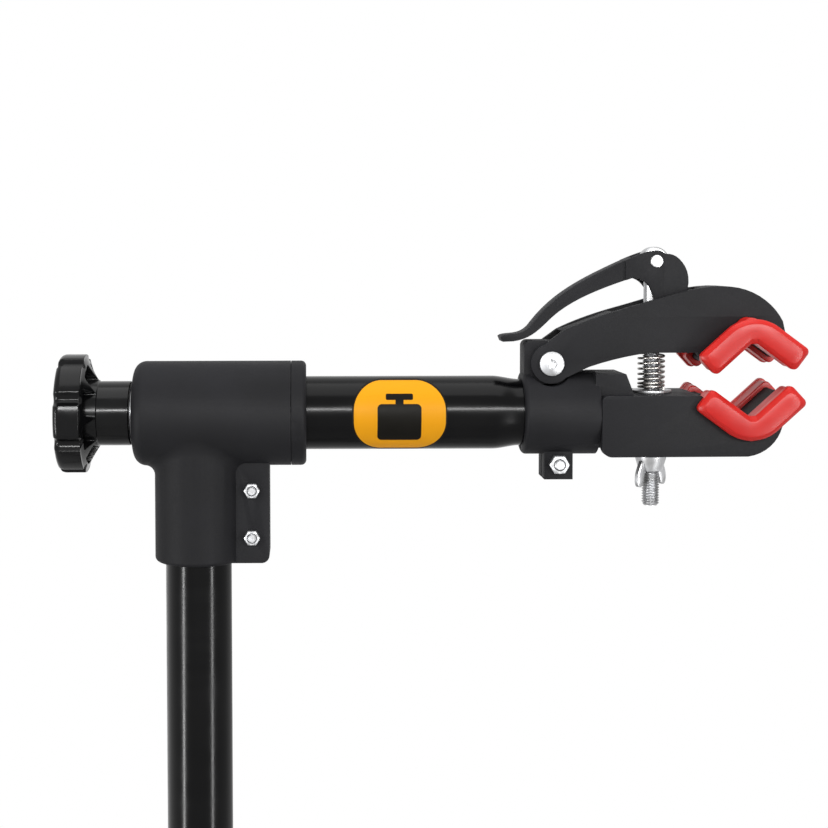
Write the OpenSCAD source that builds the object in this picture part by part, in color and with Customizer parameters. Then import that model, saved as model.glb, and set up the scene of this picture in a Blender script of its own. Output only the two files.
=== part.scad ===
// Bicycle repair stand: four folding legs, a telescoping mast, a turning arm and a cam clamp.
// Millimetres. +Z is up, +X runs along the arm to the jaws, and the origin is on the floor
// under the mast. The head is drawn about the arm's axis and lifted to arm_height.

/* [Mast and post] */
// Height of the arm's axis above the floor
arm_height = 1250; // [1150:10:1600]
// Outside diameter of the sliding mast tube
mast_d = 38; // [36:0.5:40]
// Wall of the mast tube
mast_wall = 1.6; // [1.2:0.1:2.5]
// Length of the mast tube
mast_l = 900; // [860:10:920]
// Outside diameter of the lower post tube
post_d = 45; // [44:0.5:46]
// Wall of the lower post tube
post_wall = 1.4; // [1.2:0.1:2]
// Length of the lower post tube
post_l = 850; // [700:10:860]
// Height of the lower post's bottom end above the floor
post_bottom = 50; // [46:1:54]
// Length of the plastic bush inside the post
bush_l = 60; // [40:1:80]
// Length of the guide ring on the mast's bottom end
guide_l = 30; // [20:1:40]

/* [Height collar] */
// Height of the collar that clamps the post
collar_h = 28; // [24:1:36]
// Wall of the collar
collar_wall = 5; // [4:0.5:8]
// Thickness of each collar ear
collar_ear = 8.5; // [6:0.5:10]
// Diameter of the collar bolt
collar_bolt_d = 6; // [5:0.5:8]
// Diameter of the height lever's cam
height_cam_d = 15; // [14:0.5:16]
// Thickness of the height lever
height_lever_t = 6; // [4:0.5:7]

/* [Base] */
// Distance from the post's axis to each leg's pin
leg_pin_r = 48; // [47:0.5:52]
// Height of the leg pins' middle above the floor
hub_z = 96; // [92:1:110]
// Thickness of the hub's two plates
hub_plate = 6; // [5:0.5:8]
// Diameter of the hub's sleeve round the post
hub_sleeve_d = 60; // [54:1:62]
// Diameter of the legs' pins
leg_pin_d = 8; // [6:0.5:10]
// Outside diameter of the leg tubes
leg_d = 25; // [22:0.5:26]
// Wall of the leg tubes
leg_wall = 1.5; // [1.2:0.1:2]
// Distance from the post's axis to the end of each leg
leg_reach = 545; // [500:5:600]
// Thickness of a leg casting's tongue
tongue_t = 20; // [16:1:22]
// Radius of a leg casting's tongue
tongue_r = 15; // [14:0.5:16]
// Outside diameter of the rubber feet
foot_d = 31; // [29:0.5:33]
// Length of the rubber feet
foot_l = 44; // [36:1:50]

/* [Head] */
// Radius of the head's level barrel
barrel_r = 30; // [28:0.5:32]
// Radius of the head's upright barrel
socket_r = 25; // [24:0.5:27]
// How far the head reaches left of the mast's axis
barrel_left = 36.3; // [34:0.1:38]
// How far the head reaches right of the mast's axis
barrel_right = 53.6; // [50:0.1:56]
// How far the head reaches below the arm's axis
socket_drop = 85; // [80:0.5:92]
// How far the head's clamping flange reaches right of the mast's axis
flange_reach = 41.2; // [39:0.1:43]
// Thickness of the clamping flange, slit included
flange_t = 23; // [20:0.5:26]
// Width of the slits that let a sleeve close on its tube
slit_w = 3; // [2:0.1:4]
// Diameter of the head's two clamping bolts
head_bolt_d = 5; // [4:0.5:6]

/* [Arm] */
// Outside diameter of the arm tube
arm_d = 42; // [40:0.5:43]
// Wall of the arm tube
arm_wall = 1.8; // [1.4:0.1:2.5]
// Where the arm tube starts to narrow
swage_x = 171.4; // [165:0.1:174]
// Diameter of the arm tube's narrowed end
neck_d = 38; // [36:0.5:39]
// Width of the collar ring beside the head
ring_w = 8.6; // [7:0.1:10]
// Diameter of the stud that the knob turns on
stud_d = 10; // [8:0.5:12]
// Length of the label round the arm
label_l = 53.5; // [45:0.5:60]
// Height of the label on the arm
label_h = 40.4; // [34:0.1:40.5]
// Where the middle of the label is along the arm
label_x = 115; // [105:0.5:125]

/* [Knob] */
// Diameter of the star knob over its lobes
knob_d = 68; // [62:1:72]
// Number of lobes of the star knob
knob_lobes = 8; // [6:1:9]
// Thickness of the star knob's rim
knob_rim = 15; // [12:0.5:17]
// Diameter of the star knob's hub
knob_hub_d = 37; // [33:0.5:40]
// Length of the star knob from its washer to its face
knob_l = 40.8; // [38:0.1:44]

/* [Clamp housing] */
// Where the clamp housing starts along the arm
housing_x = 185.8; // [184:0.1:188]
// Radius of the housing's sleeve
housing_r = 24; // [23:0.1:25]
// Length of arm tube inside the housing
neck_grip = 40; // [34:0.5:42]
// How far the jaw hinge is right of the mast's axis
hinge_x = 201.3; // [200:0.1:203]
// How far the jaw hinge is above the arm's axis
hinge_z = 28.9; // [28:0.1:30]
// Diameter of the hinge bolt
hinge_d = 8; // [6:0.5:8]
// Radius of the housing's upright lug about the hinge
lug_r = 12.7; // [12:0.1:13.2]
// Thickness of the housing's upright lug
lug_t = 17.4; // [15:0.1:17.6]
// Diameter of the housing's clamping bolt
lug_bolt_d = 6; // [5:0.5:6]
// Width of the housing's tongue between the lower jaw's cheeks
housing_tongue_w = 34.6; // [30:0.1:35]

/* [Jaws] */
// Width of the lower jaw
lower_w = 49; // [46:0.5:51]
// Top of the lower jaw above the arm's axis
lower_top = 11.3; // [10:0.1:12]
// Bottom of the lower jaw below the arm's axis
lower_bottom = 23.2; // [22:0.1:25]
// Thickness of the lower jaw's web
lower_web = 6; // [4:0.5:7]
// Width of the upper jaw
upper_w = 28; // [26:0.5:30]
// Radius of the upper jaw's ears about the hinge
ear_r = 11.5; // [10.5:0.1:12]
// Width of the channel between the upper jaw's cheeks
channel_w = 18.6; // [18.4:0.1:19]
// Top of the rails that the cam bears on, above the arm's axis
rail_z = 57.5; // [56:0.1:57.5]
// Where the middle of the pads' notches is along the arm
notch_x = 311; // [308:0.1:314]
// Height of the upper pads' notch above the arm's axis
upper_notch = 42.6; // [41:0.1:45]
// Height of the lower pads' notch above the arm's axis
lower_notch = -1.7; // [-3:0.1:0]

/* [Pads] */
// Width of the pads, from the front face to the rear face
pads_w = 62; // [58:0.5:66]
// Thickness of the pads
pad_t = 10.8; // [9:0.1:12]
// Thickness of the rubber over the jaw's bar
pad_skin = 2.8; // [2:0.1:3.5]
// Length of each pad arm from the notch's middle
pad_arm = 32.5; // [30:0.1:34]
// Slope of the pad arms
pad_slope = 39.5; // [36:0.5:44]
// Turn of the pads about the arm's cross axis
pad_tilt = 3; // [0:0.5:5]
// How far the pads' outer rim stands out on the jaw's side
rim_out = 3.3; // [2.5:0.1:4]
// How far the pads' outer rim stands out on the notch's side
rim_in = 0.5; // [0.3:0.1:0.6]
// Radius of the rim's outer elbow
rim_elbow = 22; // [16:0.5:24]

/* [Draw bolt] */
// Diameter of the draw bolt
draw_d = 10; // [8:0.5:10]
// Where the draw bolt stands along the arm
draw_x = 260.9; // [260:0.1:263]
// Height of the lever's pin above the arm's axis
pin_z = 86.6; // [86.4:0.1:87.4]
// How far the draw bolt reaches below the arm's axis
draw_drop = 54; // [50:0.5:60]
// Diameter of the draw bolt's eye
eye_d = 16.4; // [14:0.2:17]
// Diameter of the lever's pin
pin_d = 7.3; // [6:0.1:8]
// Outside diameter of the jaw spring
spring_d = 15.7; // [15:0.1:17]
// Diameter of the spring's wire
wire_d = 1.4; // [1.2:0.1:1.6]
// Number of open curls of the spring
open_curls = 5.5; // [4:0.5:6]
// Diameter of the washer under the spring
washer_d = 22.6; // [20:0.1:24]
// Thickness of the washers on the draw bolt
washer_t = 1.5; // [1:0.1:2]
// Diameter of the wing nut's body
wing_hub_d = 16; // [14:0.5:18]
// Height of the wing nut's body
wing_hub_h = 9; // [7:0.5:11]
// Span of the wing nut's wings
wing_span = 25; // [22:0.5:30]

/* [Cam lever] */
// Width of the lever's handle
lever_w = 15; // [12:0.5:17]
// Width of the lever's fork
fork_w = 18; // [17:0.1:18]
// Radius of the cam's crown over the pin
crown_r = 6.2; // [6:0.1:7]
// Radius of the cam where it bears on the rails
cam_r = 28.4; // [28:0.1:28.4]

/* [Hidden] */
$fn = 96;
// Clearances
run_gap = 0.05;
slide_gap = 0.08;
face_gap = 0.2;
free_gap = 0.3;
tiny = 0.01;

// Mast, post and bush
bush_d = post_d - 2 * post_wall;
post_top = post_bottom + post_l;
bush_lip = 2;
mast_top = arm_height - barrel_r - 4;
mast_bottom = mast_top - mast_l;
plug_lip = 4;
plug_l = 12;

// Height collar
collar_d = post_d + 2 * collar_wall;
collar_z = post_top - collar_h / 2;
ear_x = post_d / 2 + collar_wall + collar_bolt_d / 2 + 5;
ear_end = ear_x + collar_bolt_d / 2 + 5;
ear_face = slit_w / 2 + collar_ear;
cam_offset = 0.8;
height_cam_y = -(ear_face + free_gap + cam_offset + height_cam_d / 2);
height_arc_r = norm([ear_x, height_cam_y]) - height_cam_d / 2 + height_lever_t / 2 - 1;
height_eye_d = 9;
height_eye_t = 6;
height_pin_d = 4;
height_lever_h = 22;
height_arc_start = -34;
height_arc_turn = -116;

// Base
plate_inner = tongue_t / 2 + face_gap;
plate_outer = plate_inner + hub_plate;
plate_round = tongue_r + 1;
plate_half = leg_pin_r * cos(45) + plate_round;
sleeve_up = 44;
sleeve_down = 42;
cross_bolt_d = 6;
cross_bolt_z = hub_z - sleeve_down + 10;
foot_rise = foot_d / 2 + 1;
leg_slope = atan((hub_z - foot_rise) / (leg_reach - leg_pin_r));
leg_axis_l = (leg_reach - leg_pin_r) / cos(leg_slope);
casting_start = tongue_r + 6;
casting_end = casting_start + 50;
casting_d = leg_d + 5;
tube_start = casting_start + 12;
sole_d = 25;
leg_turns = [-45, 45, 135, 225];

// Head
neck_x = swage_x + 13.3;
tube_left = -barrel_left + 9;
bore_left = tube_left - 1;
stud_left = -barrel_left - knob_l + 8;
head_bolt_x = flange_reach - 9.9;
head_bolt_z = [-43, -70];
flange_top = -28;
ring_right = barrel_right + face_gap + ring_w;
arm_bore = arm_d - 2 * arm_wall;
arm_plug_l = 20;
label_t = 0.25;
label_round = 17;

// Knob
knob_washer_t = 1.5;
knob_right = -barrel_left - face_gap - knob_washer_t;
knob_left = knob_right - knob_l;
knob_cone_r = 24;
insert_d = 17;
insert_l = 22;

// Housing, lower jaw and draw bolt
tube_right = housing_x + neck_grip;
tongue_right = 284;
tongue_bottom = -lower_bottom + lower_web;
shoulder_x = 243;
lug_foot = -37.6;
lug_left = 198;
lug_right = 214.2;
lug_half = 10.3;
lug_bolt_x = 206.1;
lug_bolt_z = -28.7;
cheek_in = housing_tongue_w / 2;
draw_hole = draw_d + 2 * free_gap;
nut_af = 8;
big_nut_af = 13;

// Pads and the bars that they cover
bar_t = pad_t - 2 * pad_skin;
bar_half = pads_w / 2 - pad_skin;
pad_inner = upper_w / 2;
pad_corner = 3;
rim_longer = 2;
rim_flat = 1.8;
rim_start = lower_w / 2 + face_gap;
ear_room = ear_r + 1.4;
notch_rise = pad_t / 2 / cos(pad_slope);
upper_vee = [notch_x, upper_notch + notch_rise];
lower_vee = [notch_x + 0.4, lower_notch - notch_rise];

// Cam lever
pin_x = draw_x + 0.8;
eye_t = draw_d;
slot_w = eye_t + 2 * free_gap;
web_top = 39.5;
web_bottom = 34.8;

// Spring
spring_r = (spring_d - wire_d) / 2;
spring_low = lower_top + washer_t + wire_d / 2 + 0.05;
spring_high = web_bottom - wire_d / 2 - free_gap;
closed_curls = 2;
closed_pitch = wire_d + 0.5;
rings_per_curl = 8;
wire_sides = 6;

// A point on a cubic curve with four handles
function bend(a, b, c, d, t) =
    pow(1 - t, 3) * a + 3 * pow(1 - t, 2) * t * b + 3 * (1 - t) * t * t * c + pow(t, 3) * d;

// The points of a cubic curve, its last one left out
function curve(a, b, c, d, n = 10) = [for (i = [0:n - 1]) bend(a, b, c, d, i / n)];

// Points on a circle arc about a centre
function arc(centre, r, from, to, n = 8) =
    [for (i = [0:n]) let (a = from + (to - from) * i / n) centre + r * [cos(a), sin(a)]];

// Lifts a piece of the head to the arm's height
module head() translate([0, 0, arm_height]) children();

// A round bar along X, and one along Y
module x_bar(d, from, to) translate([from, 0, 0]) rotate([0, 90, 0]) cylinder(d = d, h = to - from);
module y_bar(d, from, to) translate([0, to, 0]) rotate([90, 0, 0]) cylinder(d = d, h = to - from);

// A flat outline drawn in X and Z, with its thickness along Y
module slab(from, to) translate([0, to, 0]) rotate([90, 0, 0]) linear_extrude(to - from) children();

// The same slab and its mirror image across the arm
module slab_pair(from, to) {
    slab(from, to) children();
    slab(-to, -from) children();
}

// A round bar along Z with rounded edges at its two ends
module rounded_bar(r, l, low_edge, high_edge) {
    rotate_extrude() intersection() {
        square([r, l]);
        union() {
            translate([0, low_edge]) square([r, l - low_edge - high_edge]);
            square([r - low_edge, l / 2]);
            translate([0, l / 2]) square([r - high_edge, l / 2]);
            translate([r - low_edge, low_edge]) circle(max(low_edge, tiny));
            translate([r - high_edge, l - high_edge]) circle(max(high_edge, tiny));
        }
    }
}

// A rectangle with round corners, from its low corner
module rounded_rect(w, h, r) {
    translate([r, 0]) square([w - 2 * r, h]);
    translate([0, r]) square([w, h - 2 * r]);
    for (x = [r, w - r], y = [r, h - r]) translate([x, y]) circle(r);
}

// A hexagon nut with its hole along Z
module hex_nut(af, h, hole) {
    difference() {
        cylinder(d = af / cos(30), h = h, $fn = 6);
        translate([0, 0, -1]) cylinder(d = hole, h = h + 2);
    }
}

// A button head along Z with a hexagon socket
module button_head(d, h, socket) {
    difference() {
        intersection() {
            cylinder(d = d, h = h);
            translate([0, 0, -d * 0.42]) sphere(d = d * 1.34);
        }
        translate([0, 0, h / 2]) cylinder(d = socket / cos(30), h = h, $fn = 6);
    }
}

// Base: the pieces that stand on the floor

module lower_post() {
    color([0.05, 0.05, 0.055]) translate([0, 0, post_bottom]) difference() {
        cylinder(d = post_d, h = post_l);
        translate([0, 0, -1]) cylinder(d = bush_d, h = post_l + 2);
        translate([-slit_w / 2 + post_d / 2, 0, post_l - bush_l])
            translate([-post_wall, -slit_w / 2, 0]) cube([3 * post_wall, slit_w, bush_l + 1]);
        translate([0, 0, cross_bolt_z - post_bottom]) x_bar(cross_bolt_d, -post_d, post_d);
    }
}

module post_plug() {
    color([0.1, 0.1, 0.1]) translate([0, 0, post_bottom - plug_lip]) {
        rounded_bar(post_d / 2, plug_lip, 2, 0);
        cylinder(d = bush_d, h = plug_lip + plug_l / 4);
    }
}

module hub_plate_outline() {
    difference() {
        translate([-plate_half, -plate_half]) rounded_rect(2 * plate_half, 2 * plate_half, plate_round);
        for (turn = leg_turns) rotate(turn) translate([leg_pin_r, 0]) circle(d = leg_pin_d);
    }
}

module leg_hub() {
    color([0.16, 0.16, 0.17]) difference() {
        union() {
            for (z = [-plate_outer, plate_inner]) translate([0, 0, hub_z + z])
                linear_extrude(hub_plate) hub_plate_outline();
            translate([0, 0, hub_z - sleeve_down])
                rounded_bar(hub_sleeve_d / 2, sleeve_down + sleeve_up, 2, 3);
        }
        cylinder(d = post_d, h = hub_z + sleeve_up + 1);
        translate([0, 0, cross_bolt_z]) x_bar(cross_bolt_d, -hub_sleeve_d, hub_sleeve_d);
    }
}

module hub_bolt() {
    color("silver") translate([0, 0, cross_bolt_z]) {
        x_bar(cross_bolt_d, -hub_sleeve_d / 2, hub_sleeve_d / 2 + 7);
        translate([-hub_sleeve_d / 2, 0, 0]) rotate([0, -90, 0]) button_head(11, 3.5, 4);
    }
}

module hub_nut() {
    color("silver") translate([hub_sleeve_d / 2, 0, cross_bolt_z]) rotate([0, 90, 0])
        hex_nut(10, 5, cross_bolt_d);
}

module leg_bolts() {
    color("silver") for (turn = leg_turns) rotate(turn) translate([leg_pin_r, 0, hub_z]) {
        translate([0, 0, -plate_outer - 8]) cylinder(d = leg_pin_d, h = 2 * plate_outer + 8);
        translate([0, 0, plate_outer]) button_head(14, 4.4, 5);
    }
}

module leg_nuts() {
    color("silver") for (turn = leg_turns) rotate(turn)
        translate([leg_pin_r, 0, hub_z - plate_outer - 6.5]) hex_nut(big_nut_af, 6.5, leg_pin_d);
}

// A leg piece in the leg's own frame: the pin at the origin and +X down the leg
module on_leg(turn) rotate(turn) translate([leg_pin_r, 0, hub_z]) children();
module down_leg() rotate([0, leg_slope, 0]) children();

module leg_casting(turn) {
    color([0.16, 0.16, 0.17]) on_leg(turn) difference() {
        union() {
            translate([0, 0, -tongue_t / 2]) cylinder(r = tongue_r, h = tongue_t);
            translate([0, -tongue_r * 0.8, -tongue_t / 2])
                cube([casting_start + 6, tongue_r * 1.6, tongue_t]);
            down_leg() x_bar(casting_d, casting_start, casting_end);
        }
        translate([0, 0, -tongue_t]) cylinder(d = leg_pin_d + 2 * slide_gap, h = 2 * tongue_t);
        down_leg() x_bar(leg_d, tube_start, casting_end + 1);
    }
}

module leg_tube(turn) {
    color([0.05, 0.05, 0.055]) on_leg(turn) down_leg() difference() {
        x_bar(leg_d, tube_start, leg_axis_l);
        x_bar(leg_d - 2 * leg_wall, tube_start - 1, leg_axis_l + 1);
    }
}

module leg_foot(turn) {
    color([0.08, 0.08, 0.08]) on_leg(turn) difference() {
        union() {
            down_leg() translate([leg_axis_l - foot_l, 0, 0]) rotate([0, 90, 0])
                rounded_bar(foot_d / 2, foot_l + 4, 1.5, 4);
            translate([leg_reach - leg_pin_r - foot_l / 2, 0, -hub_z])
                cylinder(d = sole_d, h = foot_rise);
        }
        down_leg() x_bar(leg_d, leg_axis_l - foot_l - 1, leg_axis_l);
    }
}

// Height collar and its quick-release lever

module post_bushing() {
    color([0.2, 0.2, 0.2]) difference() {
        union() {
            translate([0, 0, post_top - bush_l]) cylinder(d = bush_d, h = bush_l + bush_lip);
            translate([0, 0, post_top]) cylinder(d = post_d, h = bush_lip);
        }
        translate([0, 0, post_top - bush_l - 1])
            cylinder(d = mast_d + 2 * slide_gap, h = bush_l + bush_lip + 2);
    }
}

module height_collar() {
    color([0.16, 0.16, 0.17]) translate([0, 0, collar_z]) difference() {
        union() {
            translate([0, 0, -collar_h / 2]) rounded_bar(collar_d / 2, collar_h, 2, 2);
            slab(-ear_face, ear_face) translate([post_d / 2 - 2, -collar_h / 2 + 2])
                rounded_rect(ear_end - post_d / 2 + 2, collar_h - 4, 5);
        }
        translate([0, 0, -collar_h]) cylinder(d = post_d, h = 2 * collar_h);
        translate([0, -slit_w / 2, -collar_h]) cube([collar_d, slit_w, 2 * collar_h]);
        translate([ear_x, 0, 0]) y_bar(collar_bolt_d, -collar_d, collar_d);
    }
}

module collar_bolt() {
    color("silver") translate([ear_x, 0, collar_z]) difference() {
        union() {
            y_bar(collar_bolt_d, height_cam_y, ear_face + 8);
            translate([0, height_cam_y, -height_eye_t / 2]) cylinder(d = height_eye_d, h = height_eye_t);
        }
        translate([0, height_cam_y, -height_lever_h])
            cylinder(d = height_pin_d + 2 * slide_gap, h = 2 * height_lever_h);
    }
}

module collar_nut() {
    color("silver") translate([ear_x, ear_face + 5, collar_z]) rotate([90, 0, 0])
        hex_nut(10, 5, collar_bolt_d);
}

module height_lever() {
    color([0.1, 0.1, 0.1]) translate([0, 0, collar_z]) difference() {
        union() {
            translate([ear_x, height_cam_y + cam_offset, -height_lever_h / 2])
                cylinder(d = height_cam_d, h = height_lever_h);
            rotate(height_arc_start + height_arc_turn)
                rotate_extrude(angle = -height_arc_turn)
                    translate([height_arc_r - height_lever_t / 2, -height_lever_h / 2 + 2])
                        square([height_lever_t, height_lever_h - 4]);
        }
        translate([ear_x, height_cam_y, -height_lever_h])
            cylinder(d = height_pin_d, h = 2 * height_lever_h);
        translate([ear_x, height_cam_y, -height_eye_t / 2 - free_gap]) {
            cylinder(d = height_eye_d + 2 * free_gap, h = height_eye_t + 2 * free_gap);
            translate([-collar_bolt_d / 2 - free_gap, -height_cam_d, 0])
                cube([height_cam_d, 2 * height_cam_d, height_eye_t + 2 * free_gap]);
        }
    }
}

module height_lever_pin() {
    color("silver") translate([ear_x, height_cam_y, collar_z - height_lever_h / 2])
        cylinder(d = height_pin_d, h = height_lever_h);
}

// Mast and head

module mast_tube() {
    color([0.05, 0.05, 0.055]) translate([0, 0, mast_bottom]) difference() {
        cylinder(d = mast_d, h = mast_l);
        translate([0, 0, -1]) cylinder(d = mast_d - 2 * mast_wall, h = mast_l + 2);
    }
}

module mast_guide() {
    color([0.2, 0.2, 0.2]) translate([0, 0, mast_bottom - 3]) difference() {
        cylinder(d = bush_d - 2 * slide_gap, h = guide_l);
        translate([0, 0, 3]) cylinder(d = mast_d, h = guide_l);
        translate([0, 0, -1]) cylinder(d = mast_d - 12, h = guide_l);
    }
}

module t_head() {
    color([0.2, 0.2, 0.21]) head() difference() {
        union() {
            translate([-barrel_left, 0, 0]) rotate([0, 90, 0])
                rounded_bar(barrel_r, barrel_left + barrel_right, 7, 0);
            translate([0, 0, -socket_drop]) rounded_bar(socket_r, socket_drop, 2.5, 0);
            slab(-flange_t / 2, flange_t / 2) translate([0, -socket_drop])
                rounded_rect(flange_reach, socket_drop + flange_top + 6, 4.5);
        }
        x_bar(arm_d + 2 * run_gap, bore_left, barrel_right + 1);
        x_bar(stud_d + 2 * free_gap, -barrel_left - 1, 0);
        translate([0, 0, -socket_drop - 1]) cylinder(d = mast_d, h = socket_drop - barrel_r - 3);
        translate([0, -slit_w / 2, -socket_drop - 1])
            cube([flange_reach + 1, slit_w, socket_drop + flange_top + 1]);
        for (z = head_bolt_z) translate([head_bolt_x, 0, z]) y_bar(head_bolt_d, -flange_t, flange_t);
    }
}

module t_head_bolts() {
    color("silver") head() for (z = head_bolt_z) translate([head_bolt_x, 0, z]) {
        y_bar(head_bolt_d, -flange_t / 2 - 5.2, flange_t / 2);
        translate([0, flange_t / 2, 0]) rotate([-90, 0, 0]) button_head(9.5, 2.8, 3);
    }
}

module t_head_nuts() {
    color("silver") head() for (z = head_bolt_z)
        translate([head_bolt_x, -flange_t / 2, z]) rotate([90, 0, 0]) hex_nut(nut_af, 4.4, head_bolt_d);
}

// Arm

module arm_tube() {
    color([0.04, 0.04, 0.045]) head() rotate([0, 90, 0]) rotate_extrude() polygon([
        [arm_bore / 2, tube_left], [arm_d / 2, tube_left], [arm_d / 2, swage_x],
        [neck_d / 2, neck_x], [neck_d / 2, tube_right], [neck_d / 2 - arm_wall, tube_right],
        [neck_d / 2 - arm_wall, neck_x], [arm_bore / 2, swage_x]]);
}

module lock_ring() {
    color([0.2, 0.2, 0.21]) head() difference() {
        translate([barrel_right + face_gap, 0, 0]) rotate([0, 90, 0])
            rounded_bar(barrel_r, ring_w, 0.5, 3);
        x_bar(arm_d, 0, ring_right + 1);
    }
}

module arm_plug() {
    color("dimgray") head() difference() {
        x_bar(arm_bore, tube_left, tube_left + arm_plug_l);
        x_bar(stud_d, tube_left - 1, tube_left + arm_plug_l + 1);
    }
}

module arm_stud() {
    color("silver") head() x_bar(stud_d, stud_left, tube_left + arm_plug_l);
}

module label_outline() translate([label_x - label_l / 2, -label_h / 2])
    rounded_rect(label_l, label_h, label_round);

module arm_label() {
    color([0.97, 0.68, 0.11]) head() intersection() {
        difference() {
            x_bar(arm_d + 2 * label_t, label_x - label_l, label_x + label_l);
            x_bar(arm_d, label_x - label_l - 1, label_x + label_l + 1);
        }
        slab(-arm_d, 0) label_outline();
    }
}

// Knob that clamps the arm

module knob_washer() {
    color("silver") head() difference() {
        x_bar(34, knob_right, -barrel_left - face_gap);
        x_bar(stud_d + 2 * free_gap, knob_right - 1, 0);
    }
}

module knob_insert() {
    color("goldenrod") head() difference() {
        x_bar(insert_d, knob_right - insert_l, knob_right);
        x_bar(stud_d + 2 * slide_gap, knob_right - insert_l - 1, knob_right + 1);
    }
}

module knob_outline() {
    lobe_r = knob_d / 2 * PI / knob_lobes * 0.56;
    difference() {
        union() {
            circle(r = knob_d / 2 - 4);
            for (i = [0:knob_lobes - 1]) rotate(i * 360 / knob_lobes)
                translate([knob_d / 2 - lobe_r, 0]) circle(lobe_r);
        }
        for (i = [0:knob_lobes - 1]) rotate((i + 0.5) * 360 / knob_lobes)
            translate([knob_d / 2 + 1, 0]) circle(lobe_r * 0.78);
    }
}

module arm_knob() {
    color([0.04, 0.04, 0.045]) head() difference() {
        union() {
            translate([knob_left, 0, 0]) rotate([0, 90, 0]) rotate(3) linear_extrude(knob_rim) knob_outline();
            translate([knob_left + knob_rim, 0, 0]) rotate([0, 90, 0])
                cylinder(r1 = knob_cone_r, r2 = knob_hub_d / 2, h = 8);
            x_bar(knob_hub_d, knob_left + knob_rim, knob_right);
        }
        x_bar(insert_d, knob_right - insert_l, knob_right + 1);
        x_bar(stud_d + 2 * free_gap, knob_left + 4, knob_right);
    }
}

// Clamp housing and lower jaw

module housing_outline() {
    translate([housing_x + 0.8, 0]) {
        square([hinge_x - housing_x - 0.8, hinge_z]);
        translate([0, hinge_z - 4]) rounded_rect(hinge_x - housing_x, lug_r + 4, 3.5);
    }
    translate([hinge_x, hinge_z]) circle(lug_r);
    translate([hinge_x, 0]) square([lug_r, hinge_z]);
}

module tongue_outline() {
    polygon([
        [tube_right, tongue_bottom], [tube_right, housing_r - 1], [shoulder_x, housing_r - 1],
        [shoulder_x + 4.5, lower_top], [tongue_right, lower_top], [tongue_right, tongue_bottom]]);
}

module clamp_housing() {
    color([0.2, 0.2, 0.21]) head() difference() {
        union() {
            translate([housing_x, 0, 0]) rotate([0, 90, 0])
                rounded_bar(housing_r, 228 - housing_x, 2.5, 0);
            slab(-lug_t / 2, lug_t / 2) housing_outline();
            slab(-cheek_in, cheek_in) tongue_outline();
            slab(-lug_half, lug_half) translate([lug_left, lug_foot])
                square([lug_right - lug_left, -lug_foot - neck_d / 2]);
        }
        x_bar(neck_d, housing_x - 1, tube_right);
        translate([housing_x - 1, -1, -housing_r - 20]) cube([33, 2, housing_r + 20]);
        translate([hinge_x, 0, hinge_z]) {
            y_bar(hinge_d, -housing_r, housing_r);
            y_bar(2 * ear_room, lug_t / 2, housing_r);
            y_bar(2 * ear_room, -housing_r, -lug_t / 2);
        }
        translate([lug_bolt_x, 0, lug_bolt_z]) y_bar(lug_bolt_d, -housing_r, housing_r);
        translate([draw_x, 0, -housing_r]) cylinder(d = draw_hole, h = 2 * housing_r);
    }
}

module lug_bolt() {
    color("silver") head() translate([lug_bolt_x, 0, lug_bolt_z]) {
        y_bar(lug_bolt_d, -lug_half - 6.5, lug_half);
        translate([0, lug_half, 0]) rotate([-90, 0, 0]) button_head(11, 3.5, 4);
    }
}

module lug_nut() {
    color("silver") head() translate([lug_bolt_x, -lug_half, lug_bolt_z]) rotate([90, 0, 0])
        hex_nut(10, 5, lug_bolt_d);
}

// The outline of a wide upside-down V: rounded tips, a round elbow outside and a narrow one inside
function turned(points, a) =
    [for (p = points) [p[0] * cos(a) - p[1] * sin(a), p[0] * sin(a) + p[1] * cos(a)]];
function mirrored(points) = [for (i = [len(points) - 1:-1:0]) [-points[i][0], points[i][1]]];
function vee_tip(thickness, reach, corner) = concat(
    arc([reach - corner, corner - thickness / 2], corner, -90, 0, 4),
    arc([reach - corner, thickness / 2 - corner], corner, 0, 90, 4));
function vee_outline(thickness, reach, elbow, notch) =
    let (tip = turned(vee_tip(thickness, reach, min(pad_corner, 0.4 * thickness)), -pad_slope),
        middle = [0, (thickness / 2 - elbow) / cos(pad_slope)])
        concat(tip, arc(middle, elbow, 90 - pad_slope, 90 + pad_slope, 10), mirrored(tip),
            [for (x = notch) [x, -thickness / 2 / cos(pad_slope) - abs(x) * tan(pad_slope)]]);

// The same outline in its place on a jaw, lifted by rise: the pads, their rim, or the bar in them
module vee(at, up, thickness, reach, elbow, notch = [0], rise = 0) {
    translate(at) rotate(pad_tilt) mirror([0, up ? 0 : 1]) translate([0, rise])
        polygon(vee_outline(thickness, reach, elbow, notch));
}

module pad_vee(at, up) vee(at, up, pad_t, pad_arm, pad_t / 2);
module bar_vee(at, up) vee(at, up, bar_t, pad_arm - pad_skin, bar_t / 2);
module rim_vee(at, up) vee(at, up, pad_t + rim_out + rim_in, pad_arm + rim_longer, rim_elbow,
    [-rim_flat, rim_flat], (rim_out - rim_in) / 2 / cos(pad_slope));

module lower_cheek_outline() {
    left = 228.3;
    end = 329.6;
    difference() {
        polygon(concat(
            arc([left + 5.5, -lower_bottom + 5.5], 5.5, 270, 180),
            arc([left + 3.5, lower_top - 3.5], 3.5, 180, 90),
            [[283.5, lower_top], lower_vee, [end + 0.4, lower_top - 4]],
            curve([end, -3], [end - 1.5, -14], [end - 10, -lower_bottom], [306, -lower_bottom])));
        pad_vee(lower_vee, false);
    }
}

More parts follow.
